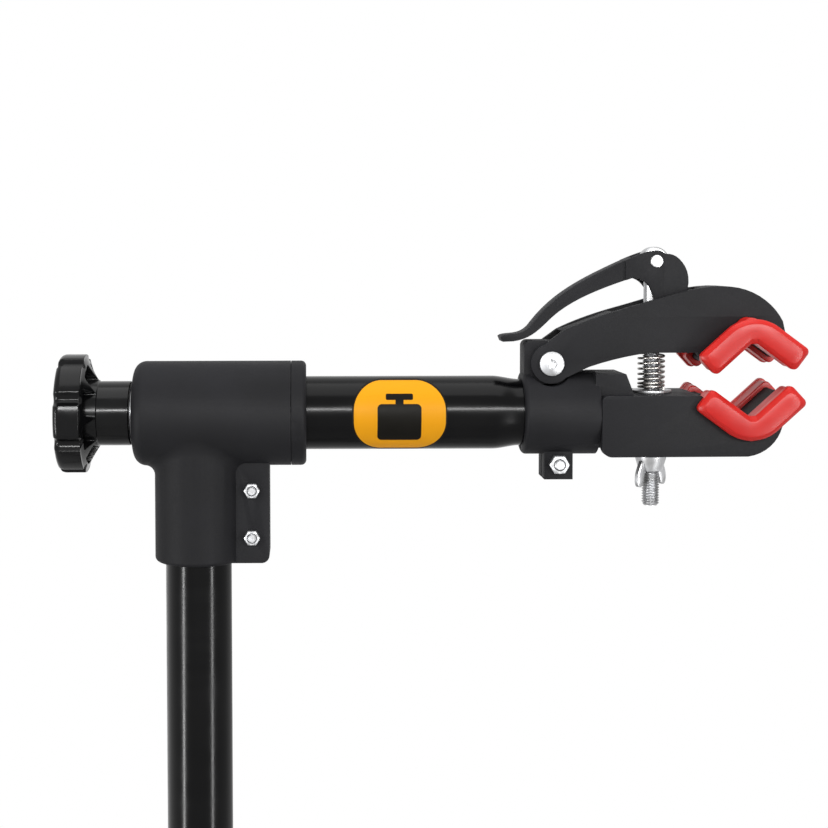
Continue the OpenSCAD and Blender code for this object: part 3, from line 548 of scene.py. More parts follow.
@dataclass(frozen=True)
class LabelFilm:
    """Orange film with a thin dark border and a plain dark block, bar and stem, sizes in mm."""

    name: str = "label_film"
    film: Colour = linear("f3a516")
    light: Colour = linear("f8ae20")
    ink: Colour = linear("15130f")
    middle: Pair = (115.0, 0.0)
    half: Pair = (26.75, 20.2)
    corner: float = 17.0
    border: float = 0.9

    def make(self) -> bpy.types.Material:
        """The material: dark block, bar and stem on orange, a dark border, and a film's gloss."""
        s = Surface(self.name)
        x, _, z = (s.math("MULTIPLY", axis, 1 / MM) for axis in s.axes())
        z = s.math("SUBTRACT", z, ARM_HEIGHT)
        block = s.block(x, z, (114.8, -3.6), (12.4, 10.4), 2.6)
        bar = s.block(x, z, (114.9, 10.7), (7.7, 1.7), 0.8)
        stem = s.block(x, z, (114.9, 7.5), (2.3, 2.6), 0.2)
        dark = s.math("MINIMUM", s.math("MINIMUM", block, bar), stem)
        film = s.block(x, z, self.middle, self.half, self.corner)
        ink = s.scale(s.math("MINIMUM", dark, s.math("SUBTRACT", -self.border, film)),
                      -0.12, 0.12, 1.0, 0.0)
        tone = s.mix(s.scale(s.noise(45.0, 3.0), 0.3, 0.7, 0.0, 0.25), self.film, self.light)
        s.bump(s.noise(700.0, 2.0), 0.04, 0.0001)
        return s.finish(Base_Color=s.mix(ink, tone, self.ink), Specular_IOR_Level=0.06,
                        Roughness=s.scale(s.noise(120.0, 3.0), 0.3, 0.7, 0.4, 0.5))


class Finishes:
    """All materials of the stand, by the record's slot name."""

    def __init__(self) -> None:
        """Makes each material once."""
        makers = [
            TubePaint(),
            CastPaint("charcoal_casting"),
            CastPaint("base_casting", linear("232325"), linear("2a2a2c"), linear("58585b"), 0.5),
            PlatedSteel("bright_steel", gloss=0.34),
            PlatedSteel("spring_steel", linear("b3b0ac"), linear("77736f"), 0.24),
            SoftPlastic("red_rubber", linear("cf1d18"), linear("db261f"), linear("f58a7c"),
                        0.3, 0.44, 0.22, 0.4),
            SoftPlastic("black_rubber", linear("161616"), linear("1e1e1e"), linear("3a3a3a"),
                        0.55, 0.72, 0.3, 0.5, 0.25),
            SoftPlastic("black_knob_plastic", linear("0c0c0d"), linear("0f0f10"), linear("2c2c2c"),
                        0.12, 0.22, 0.16, 0.4, 0.03),
            SoftPlastic("slide_plastic", linear("26272a"), linear("2f3033"), linear("55565a"),
                        0.35, 0.5, 0.35, 0.4),
            PlatedSteel("brass_insert", linear("c49a4c"), linear("8f6b2d"), 0.26),
            LabelFilm(),
        ]
        self.by_slot = {maker.name: maker.make() for maker in makers}
        # The casting finish without lighter edges: neither painted edge highlight nor wear.
        self.plain_edges = CastPaint("charcoal_casting_unworn", edge_wear_and_highlight_share=0.0).make()

    def dress(self, piece: bpy.types.Object, slot: str) -> None:
        """Gives a new piece the material of its slot."""
        piece.data.materials.clear()
        piece.data.materials.append(self.by_slot[slot])


# ---------------------------------------------------------------- sub-assemblies


@dataclass
class SubAssembly:
    """One part of the stand: makes its pieces, dresses them and reports them."""

    finishes: Finishes

    def soften(self, node: str, slot: str, width: float = 0.3) -> None:
        """Keeps a CAD node, with its edges rounded by modifiers, and gives it its finish.

        Args:
            node: The CAD node's name.
            slot: The material slot of its finish.
            width: Rounding of its edges in mm.
        """
        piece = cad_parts[node]
        piece.data.polygons.foreach_set("use_smooth", np.ones(len(piece.data.polygons), bool))
        modify(piece, "weld", "WELD", merge_threshold=2e-5)
        modify(piece, "flat", "DECIMATE", decimate_type="DISSOLVE", angle_limit=math.radians(0.6))
        modify(piece, "edge", "BEVEL", width=width * MM, segments=3, limit_method="ANGLE",
               angle_limit=math.radians(28.0), harden_normals=True, use_clamp_overlap=True)
        piece.data.materials.clear()
        piece.data.materials.append(self.finishes.by_slot[slot])
        LOG.info("%s: CAD node, %s", node, slot)

    def fit(self, shell: Shell, body: str, node: str | None, slot: str = "bright_steel",
            sharp: float = 38.0) -> bpy.types.Object:
        """Finishes a new piece, rides it on its body and hides the CAD node it stands for.

        Args:
            shell: The piece's grids.
            body: The body it moves with.
            node: The CAD node that it replaces, if any.
            slot: The material slot of its finish.
            sharp: Angle in degrees above which its edges stay sharp.

        Returns:
            The piece.
        """
        piece = shell.finish(sharp)
        self.finishes.dress(piece, slot)
        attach(piece, body)
        if node:
            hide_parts(node)
        LOG.info("%s: new piece on %s, %s, %d faces", piece.name, body, slot,
                 len(piece.data.polygons))
        return piece

    def screws(self, size: Screw, body: str, names: tuple[str, str], nodes: tuple[str, str],
               seats: list[Array], out: Axis, grip: float, past: float) -> None:
        """Makes like bolts as one piece and their nuts as another.

        Args:
            size: Of the screws.
            body: The body they move with.
            names: The new pieces' names, the bolts' first.
            nodes: The CAD nodes that they replace.
            seats: Middle of each head's seat.
            out: From the seats to the heads.
            grip: From a head's seat to its nut's.
            past: Length of the threaded ends.
        """
        thread, pitch, blunt, head, socket, flats, height = size.value
        bolts, nuts = Shell(names[0]), Shell(names[1])
        for seat in seats:
            far = seat - grip * out.vector
            Seat(bolts, seat, out).button_head(head, socket)
            Seat(bolts, seat, out.opposite).rod(thread - 0.04, grip, 0.2)
            Seat(bolts, far, out.opposite).thread(thread - 0.1, past, pitch, blunt)
            Seat(nuts, far, out.opposite).nut(flats, height, thread)
        self.fit(bolts, body, nodes[0])
        self.fit(nuts, body, nodes[1])


@dataclass
class Base(SubAssembly):
    """The hub, the post and the four folding legs with their feet."""

    pin_r: float = 48.0
    hub_z: float = 96.0
    plate_outer: float = 16.2
    leg_reach: float = 545.0
    foot_d: float = 31.0
    foot_l: float = 44.0
    foot_past: float = 3.85
    tube_d: float = 25.0
    cross_half: float = 30.0
    cross_z: float = 64.0

    def leg_frame(self, turn: float) -> tuple[Array, Array, float]:
        """The place of a leg's pin, the direction down the leg and the leg's length.

        Args:
            turn: The leg's angle from +X, in degrees.

        Returns:
            The point in mm, the unit vector and the length in mm.
        """
        level = np.array([math.cos(math.radians(turn)), math.sin(math.radians(turn)), 0.0])
        run = self.leg_reach - self.pin_r
        slope = math.atan((self.hub_z - self.foot_d / 2 - 1) / run)
        pin = level * self.pin_r + np.array([0.0, 0.0, self.hub_z])
        down = level * math.cos(slope) + np.array([0.0, 0.0, -math.sin(slope)])
        return pin, down, run / math.cos(slope)

    def foot(self, side: str) -> None:
        """A rubber foot: a turned sleeve with five grooves and a stepped sole under it."""
        pin, down, length = self.leg_frame(LEG_TURNS[side])
        start, end, r = length - self.foot_l, length + self.foot_past, self.foot_d / 2
        inner, socket, nose_l, lip_l = self.tube_d / 2 + 0.02, start + 10, 9.0, 1.5
        along = np.linspace(start + lip_l, end - nose_l, 90)
        pitch, depth, spread = 6.5, 0.7, 0.8
        groove = depth * np.exp(-((np.mod(along - start - 6.0, pitch) - pitch / 2) / spread) ** 2)
        fade = smoothstep(start + 4, start + 6, along) * (1 - smoothstep(end - 14, end - 12, along))
        nose = soft_profile([(end - nose_l, r, 0), (end, r, 5.5), (end, 0, 0)], 9)[1:]
        lip = soft_profile([(socket, inner, 0), (start, inner, 0.6), (start, r, 1.5),
                            (start + lip_l, r, 0)], 5)[:-1]
        wall = np.column_stack([along, r - groove * fade])
        profile = np.vstack([[[socket, 0.0]], lip, wall, nose])
        level = down * np.array([1.0, 1.0, 0.0]) / np.linalg.norm(down[:2])
        sole = level * (self.leg_reach - self.foot_l / 2)
        steps = soft_profile([(0, 0, 0), (0, 9.0, 0), (0.8, 9.4, 0.3), (0.8, 10.4, 0.3),
                              (0, 10.8, 0.3), (0, 12.5, 1.0), (12.0, 12.5, 0.5), (16.0, 11.5, 0),
                              (16.0, 0, 0)])
        shell = Shell(f"rubber_foot_{side}").turn(*profile.T, pin, down)
        shell.turn(*steps.T, sole, Axis.UP, 64)
        self.fit(shell, f"leg_{side}", f"leg_foot_{side}", "black_rubber")

    def build(self) -> None:
        """Makes and dresses every piece of the base."""
        self.soften("lower_post", "black_tube_paint")
        self.soften("post_plug", "slide_plastic")
        self.soften("leg_hub", "base_casting", 1.0)
        for side in LEG_TURNS:
            self.soften(f"leg_casting_{side}", "base_casting", 1.0)
            self.soften(f"leg_tube_{side}", "black_tube_paint")
            self.foot(side)
        pins = [self.leg_frame(turn)[0] for turn in LEG_TURNS.values()]
        self.screws(Screw.M8, "base", ("leg_bolt_set", "leg_nut_set"), ("leg_bolts", "leg_nuts"),
                    [pin + self.plate_outer * Axis.UP.vector for pin in pins], Axis.UP,
                    2 * self.plate_outer, 8.0)
        self.screws(Screw.M6, "base", ("hub_cross_bolt", "hub_cross_nut"), ("hub_bolt", "hub_nut"),
                    [np.array([-self.cross_half, 0.0, self.cross_z])], Axis.LEFT,
                    2 * self.cross_half, 7.0)


@dataclass
class HeightCollar(SubAssembly):
    """The quick-release collar at the post's top."""

    ear_x: float = 35.5
    ear_face: float = 10.0
    z: float = 886.0

    def build(self) -> None:
        """Makes and dresses the collar, its bolt, nut, lever and pin, and the post's bush."""
        self.soften("post_bushing", "slide_plastic")
        self.soften("height_collar", "base_casting", 0.9)
        self.soften("collar_bolt", "bright_steel")
        self.soften("height_lever", "base_casting", 0.9)
        self.soften("height_lever_pin", "bright_steel")
        nut = Shell("collar_lock_nut")
        thread, *_, flats, height = Screw.M6.value
        seat = Seat(nut, np.array([self.ear_x, self.ear_face, self.z]), Axis.BACK)
        seat.nut(flats, height, thread)
        self.fit(nut, "base", "collar_nut")


@dataclass
class Head(SubAssembly):
    """The mast and the T-shaped head with its clamping flange."""

    barrel_r: float = 30.0
    socket_r: float = 25.0
    bolt_x: float = 31.3
    bolt_z: Pair = (-43.0, -70.0)
    flange_half: float = 11.5
    blend_down: float = 6.0
    blend_out: float = 6.0
    blend_less: float = 3.4
    sunk: float = 0.04

    def fillet(self) -> None:
        """The soft cast corner between the two barrels.

        Round the upright barrel at angle t, a cubic runs from the upright wall, blend_down under
        the line where the barrels meet, to the level barrel, blend_out further from the upright
        axis. Its handles lie along the two surfaces, so it leaves both of them smoothly.
        """
        t = np.linspace(0.0, 2.0 * np.pi, 240, endpoint=False)
        cos, sin = np.cos(t), np.sin(t)
        r, big, handle = self.socket_r - self.sunk, self.barrel_r - self.sunk, 0.6

        def under(distance: Array) -> Array:
            """Height of the level barrel's underside at that distance from the upright axis."""
            return -np.sqrt(np.maximum(big ** 2 - (distance * sin) ** 2, 0.0))

        def ring(distance: Array | float, height: Array) -> Array:
            """Points round the upright axis at that distance and that height."""
            return np.stack([distance * cos, distance * sin, height], -1)

        out = self.blend_out - self.blend_less * sin ** 2
        joint = under(r * np.ones_like(t))
        first, corner = ring(r, joint - self.blend_down), ring(r, joint)
        last, near = (ring(r + part * out, under(r + part * out)) for part in (1.0, handle))
        last_handle = last + (near - last) / np.linalg.norm(near - last, axis=-1, keepdims=True) \
            * (handle * np.linalg.norm(last - corner, axis=-1, keepdims=True))
        grid = cubic(first, first + handle * (corner - first), last_handle, last,
                     np.linspace(0.0, 1.0, 12)[:, None, None])
        grid = np.concatenate([grid, ring(0.97 * r, joint + 1.0)[None]]) + head_point(0, 0, 0)
        shell = Shell("t_head_cast_corner").add(grid, loop_rows=True)
        piece = self.fit(shell, "mast", None, "charcoal_casting", 60.0)
        # The corner takes the casting finish without the painted edge highlight and wear, so its
        # joins show no light line.
        piece.data.materials[0] = self.finishes.plain_edges

    def build(self) -> None:
        """Makes and dresses the mast, its guide, the head, and the head's bolts and nuts."""
        self.soften("mast_tube", "black_tube_paint")
        self.soften("mast_guide", "slide_plastic")
        self.soften("t_head", "charcoal_casting", 0.8)
        self.fillet()
        self.screws(Screw.M5, "mast", ("t_head_bolt_set", "t_head_nut_set"),
                    ("t_head_bolts", "t_head_nuts"),
                    [head_point(self.bolt_x, self.flange_half, z) for z in self.bolt_z], Axis.BACK,
                    2 * self.flange_half, 5.2)


@dataclass
class Arm(SubAssembly):
    """The turning arm: tube, lock ring, label, plug and stud."""

    radius: float = 21.0
    bore: float = 19.2
    neck: float = 19.0
    left: float = -27.3
    swage: float = 171.4
    swage_end: float = 184.7
    right: float = 225.8
    edge: float = 0.3
    film_t: float = 0.16
    film_rim: float = 0.01
    stud_x: float = -7.3
    stud_d: float = 9.9
    stud_l: float = 61.8
    stud_pitch: float = 1.5

    def tube(self) -> None:
        """The tube: its radius falls from arm to neck by a smooth step over the swage."""
        along = np.concatenate([np.linspace(self.left + self.edge, self.swage - 3.0, 30),
                                np.linspace(self.swage - 2.0, self.swage_end + 1.0, 24),
                                np.linspace(self.swage_end + 2.0, self.right - self.edge, 6)])
        fall = smoothstep(self.swage - 2.5, self.swage_end + 0.5, along)
        outer = self.radius + (self.neck - self.radius) * fall
        wall = self.radius - self.bore
        profile = np.vstack([
            [[self.left, self.bore + 0.2], [self.left, self.radius - self.edge]],
            np.column_stack([along, outer]),
            [[self.right, self.neck - self.edge], [self.right, self.neck - wall + 0.2]],
            np.column_stack([along, outer - wall])[::-1]])
        shell = Shell("arm_tube_swaged")
        shell.turn(*profile.T, head_point(0, 0, 0), Axis.RIGHT, 160, loop=True)
        self.fit(shell, "arm", "arm_tube", "black_tube_paint")

    def label(self) -> None:
        """The film: rows at each height, as wide as a round-cornered block, laid on the tube.

        At height z the half length is that of the block, cut back near its corners by the circle of
        the corner's radius. The depth is the tube's circle, and the border steps down to the tube.
        """
        (half_l, half_h), corner = LabelFilm.half, LabelFilm.corner
        z = half_h * np.sin(np.linspace(-0.5, 0.5, 61) * np.pi)
        past = np.maximum(np.abs(z) - (half_h - corner), 0.0)
        reach = half_l - corner + np.sqrt(np.maximum(corner ** 2 - past ** 2, 0.0))
        share = np.concatenate([[-1.0], np.linspace(-0.994, 0.994, 41), [1.0]])
        lift = np.full((len(z), len(share)), self.film_t)
        lift[0] = lift[-1] = lift[:, 0] = lift[:, -1] = self.film_rim
        high = z[:, None] + 0 * lift
        grid = np.stack([LabelFilm.middle[0] + reach[:, None] * share,
                         -np.sqrt((self.radius + lift) ** 2 - high ** 2), high + ARM_HEIGHT], -1)
        piece = self.fit(Shell("arm_label_film").add(grid, loop_columns=False), "arm", "arm_label",
                         "label_film", 80.0)
        if piece.data.polygons[len(piece.data.polygons) // 2].normal.y > 0:
            piece.data.flip_normals()

    def build(self) -> None:
        """Makes and dresses the arm's pieces."""
        self.tube()
        self.label()
        self.soften("lock_ring", "charcoal_casting")
        self.soften("arm_plug", "bright_steel")
        stud = Shell("arm_stud_threaded")
        seat = Seat(stud, head_point(self.stud_x, 0, 0), Axis.LEFT)
        seat.thread(self.stud_d, self.stud_l, self.stud_pitch)
        self.fit(stud, "arm", "arm_stud")


@dataclass
class Knob(SubAssembly):
    """The star knob: eight wide lobes, hollow back with ribs, long hub, brass insert."""

    radius: float = 34.0
    lobes: int = 8
    scallop_half: float = 3.9
    scallop_depth: float = 3.1
    left: float = -78.8
    rim: float = 15.0
    rim_wall: float = 1.5
    right: float = -38.0
    hub_r: float = 18.5
    hub_rise: float = 7.6
    insert_r: float = 8.5
    insert_l: float = 22.0
    pocket: float = 5.0
    turn: float = 3.0

    def off_scallop(self, angle: Array) -> Array:
        """Angle in radians from the middle of the nearest scallop."""
        pitch = 2 * np.pi / self.lobes
        return np.mod(angle - math.radians(self.turn), pitch) - pitch / 2

    def outline(self, angle: Array) -> Array:
        """Radius at an angle: the full radius, less a round-bottomed cut near each scallop."""
        off = np.abs(self.off_scallop(angle)) * self.radius / self.scallop_half
        cut = np.where(off < 1, np.cos(off * np.pi / 2) ** 0.75 * self.scallop_depth, 0.0)
        return self.radius - cut

    def back(self, radius: Array, angle: Array) -> Array:
        """Place along X of the knob's back: ribs that rise to the hub, with deep pockets between.

        Args:
            radius: Distance from the knob's axis.
            angle: Angle round it.

        Returns:
            The rib's slope, or the pocket's floor where the angle is near a scallop and the radius
            lies between the hub and the rim's wall, with smooth steps between the two.
        """
        inside = self.radius - self.rim_wall
        share = np.clip((inside - radius) / (inside - self.hub_r), 0.0, 1.0)
        rib = self.left + self.rim + self.hub_rise * share ** 1.25
        off = np.abs(self.off_scallop(angle)) * radius
        mask = (1 - smoothstep(6.0, 7.4, off)) * (1 - smoothstep(27.6, 28.8, radius)) \
            * smoothstep(self.hub_r + 0.6, self.hub_r + 1.6, radius)
        return rib + (self.left + self.pocket - rib) * mask

    def build(self) -> None:
        """Makes the knob as one closed turned shell, its insert and its washer."""
        columns = 320
        angle = np.linspace(0, 2 * np.pi, columns, endpoint=False)
        outer, flat = self.outline(angle), np.zeros(columns)
        dish = np.array([[0.9, 0.0], [0.9, 14.0], [0.0, 15.5]])
        round_off = soft_profile([(0.0, 12.0, 0), (0.0, 0.0, 4.2), (self.rim, 0.0, 1.1),
                                  (self.rim, 1.5, 0)], 8)[:-1]
        share = np.linspace(0.0, 1.0, 46)[1:, None]
        radii = (outer - 1.2) * (1 - share) + self.hub_r * share
        bottom = self.right - self.insert_l
        hub = soft_profile([(self.left + self.rim + self.hub_rise, self.hub_r, 0),
                            (self.right, self.hub_r, 1.0), (self.right, self.insert_r, 0.3),
                            (bottom, self.insert_r, 0), (bottom, 0, 0)], 6)[1:]
        rows_r = np.vstack([dish[:, 1:] + flat, outer - round_off[:, 1:], radii, hub[:, 1:] + flat])
        rows_x = np.vstack([self.left + dish[:, :1] + flat, self.left + round_off[:, :1] + flat,
                            self.back(radii, angle), hub[:, :1] + flat])
        shell = Shell("star_knob_moulded")
        shell.turn(rows_x, rows_r, head_point(0, 0, 0), Axis.RIGHT, columns)
        self.fit(shell, "knob", "arm_knob", "black_knob_plastic", 32.0)
        self.soften("knob_insert", "brass_insert")
        washer = Shell("knob_thrust_washer")
        Seat(washer, head_point(self.right, 0, 0), Axis.RIGHT).ring(10.6, 31.0, 1.5, 0.4)
        self.fit(washer, "knob_washer", "knob_washer")


@dataclass
class Clamp(SubAssembly):
    """The housing, the two jaws with their pads, and the bolts that hold them."""

    hinge: Pair = (201.3, 28.9)
    hinge_half: float = 14.2
    lug_bolt: Pair = (206.1, -28.7)
    lug_half: float = 10.3
    upper_vee: Pair = (311.0, 49.6)
    lower_vee: Pair = (311.4, -8.7)
    pads_half: float = 31.0
    pad_inner: float = 14.0
    pad_t: float = 10.8
    pad_corner: float = 3.0
    skin: float = 2.8
    pad_arm: float = 32.5
    slope: float = 39.5
    tilt: float = 3.0
    rim_start: float = 24.7
    rim_out: float = 3.3
    rim_in: float = 0.5
    rim_longer: float = 2.0
    rim_elbow: float = 22.0
    rim_flat: float = 1.8
    rim_bevel: float = 2.4

    def vee(self, thickness: float, reach: float, inset: float, elbow: float | None = None,
            flat: float = 0.0) -> Array:
        """Outline of the upside-down V: two rounded tips, a round elbow and a narrow inner one.

        Each tip is two quarter arcs turned down by the slope, the other tip its mirror image.

        Args:
            thickness: Of the V's arms, before the inset.
            reach: From the elbow to the tips, before the inset.
            inset: How far the outline lies inside that one.
            elbow: Radius of the outer elbow before the inset, or half the inset thickness.
            flat: Half the width of the inner elbow's flat.

        Returns:
            Points in X and Z about the elbow's middle.
        """
        thickness, reach = thickness - 2 * inset, reach - inset
        corner = max(min(self.pad_corner + 0.4 * inset, 0.4 * thickness), 0.0)
        elbow = thickness / 2 if elbow is None else elbow - inset
        slope = math.radians(self.slope)
        tip = np.vstack([arc_points([reach - corner, corner - thickness / 2], corner, -90, 0, 6),
                         arc_points([reach - corner, thickness / 2 - corner], corner, 0, 90, 6)])
        c, s = math.cos(-slope), math.sin(-slope)
        tip = tip @ np.array([[c, s], [-s, c]])
        low = np.array([[flat, -thickness / 2 / math.cos(slope) - flat * math.tan(slope)]])
        share = np.linspace(0.0, 1.0, 9)[1:-1, None]
        inner = low * (1 - share) + tip[:1] * share
        top = arc_points([0, (thickness / 2 - elbow) / math.cos(slope)], elbow,
                         90 - self.slope, 90 + self.slope, 17)
        outer = tip[-1:] * (1 - share) + top[:1] * share
        return np.vstack([tip, outer, top, outer[::-1] * MIRROR, tip[::-1] * MIRROR,
                          inner[::-1] * MIRROR, low * MIRROR, low, inner])

    def spine(self, outline: Array, thickness: float, reach: float) -> Array:
        """The rim's middle line under each point of its outline, for a face without folds.

        The middle's height at x is the mean of the outer side, an arc or a slope, and the inner
        slope. Points past the tips' middles go to those middles.
        """
        slope, elbow = math.radians(self.slope), self.rim_elbow
        end = (reach - thickness / 2) * math.cos(slope)
        x = np.clip(outline[:, 0], -end, end)
        off = np.abs(x)
        half = thickness / 2 / math.cos(slope)
        raised = (thickness / 2 - elbow) / math.cos(slope)
        arc = raised + np.sqrt(np.maximum(elbow ** 2 - x ** 2, 0.0))
        outer = np.where(off < elbow * math.sin(slope), arc, half - off * math.tan(slope))
        inner = -half - np.maximum(off, self.rim_flat) * math.tan(slope)
        return np.column_stack([x, (outer + inner) / 2])

    def rim(self) -> list[tuple[float, Array]]:
        """Rings of a pad's outer rim: back face, straight wall, broad bevel and front face."""
        thick = self.pad_t + self.rim_out + self.rim_in
        reach = self.pad_arm + self.rim_longer
        rise = (self.rim_out - self.rim_in) / 2 / math.cos(math.radians(self.slope))
        start, full, bevel = self.rim_start, self.pads_half, self.rim_bevel
        rings = [  # distance from the arm's mid-plane, inset from the outline
            (start, 0.6), (start + 0.2, 0.15), (start + 0.6, 0.0), (full - bevel, 0.0),
            (full - 0.9 * bevel, 0.12), (full - 0.2, 0.92 * bevel), (full, bevel + 0.3)]
        rows = [(y, self.vee(thick, reach, inset, self.rim_elbow, self.rim_flat))
                for y, inset in rings]
        faces = [(rows[end][0], self.spine(rows[end][1], thick, reach)) for end in (0, -1)]
        return [(y, outline + [0.0, rise]) for y, outline in (faces[0], *rows, faces[1])]

    def pad(self, name: str, body: str, centre: Pair, up: bool, side: int) -> None:
        """One rubber pad: a sleeve open round the jaw's bar, and a wider rim at its outer end.

        Both are rings of the V outline, shrunk and moved along Y.

        Args:
            name: The CAD node's name.
            body: The body it moves with.
            centre: The V's middle in X and Z.
            up: True on the upper jaw.
            side: -1 in front, 1 at the rear.
        """
        lip, inner, deep = 0.8, self.pad_inner, self.rim_start + 1.0
        rings = [  # distance from the arm's mid-plane, inset from the outline
            (deep, self.skin), (inner, self.skin), (inner, lip), (inner + 0.25, 0.25),
            (inner + lip, 0.0), (deep, 0.0), (deep, self.skin)]
        sleeve = [(y, self.vee(self.pad_t, self.pad_arm, inset)) for y, inset in rings]
        shell = Shell(f"{name}_moulded")
        tilt = math.radians(self.tilt)
        turn = np.array([[math.cos(tilt), math.sin(tilt)], [-math.sin(tilt), math.cos(tilt)]])
        for rows in (sleeve, self.rim()):
            grid = []
            for y, outline in rows:
                place = outline * ([1, 1] if up else [1, -1]) @ turn + centre
                grid.append(np.column_stack([place[:, 0], np.full(len(place), side * y),
                                             place[:, 1] + ARM_HEIGHT]))
            shell.add(np.stack(grid))
        piece = self.fit(shell, body, name, "red_rubber", 30.0)
        modify(piece, "edge", "BEVEL", width=0.3 * MM, segments=2, limit_method="ANGLE",
               angle_limit=math.radians(24), harden_normals=True)

    def build(self) -> None:
        """Makes and dresses the clamp's pieces, its hinge bolt, its lug bolt and their nuts."""
        self.soften("clamp_housing", "charcoal_casting", 0.8)
        self.soften("lower_jaw", "charcoal_casting", 0.9)
        self.soften("upper_jaw", "charcoal_casting", 0.9)
        for side, sign in (("front", -1), ("rear", 1)):
            self.pad(f"upper_pad_{side}", "upper_jaw", self.upper_vee, True, sign)
            self.pad(f"lower_pad_{side}", "arm", self.lower_vee, False, sign)
        (x, z), half = self.hinge, self.hinge_half
        self.screws(Screw.M8, "arm", ("hinge_pivot_bolt", "hinge_lock_nut"),
                    ("hinge_bolt", "hinge_nut"), [head_point(x, -half, z)], Axis.FRONT,
                    2 * half, 8.0)
        (x, z), half = self.lug_bolt, self.lug_half
        self.screws(Screw.M6, "arm", ("lug_clamp_bolt", "lug_clamp_nut"), ("lug_bolt", "lug_nut"),
                    [head_point(x, half, z)], Axis.BACK, 2 * half, 6.5)


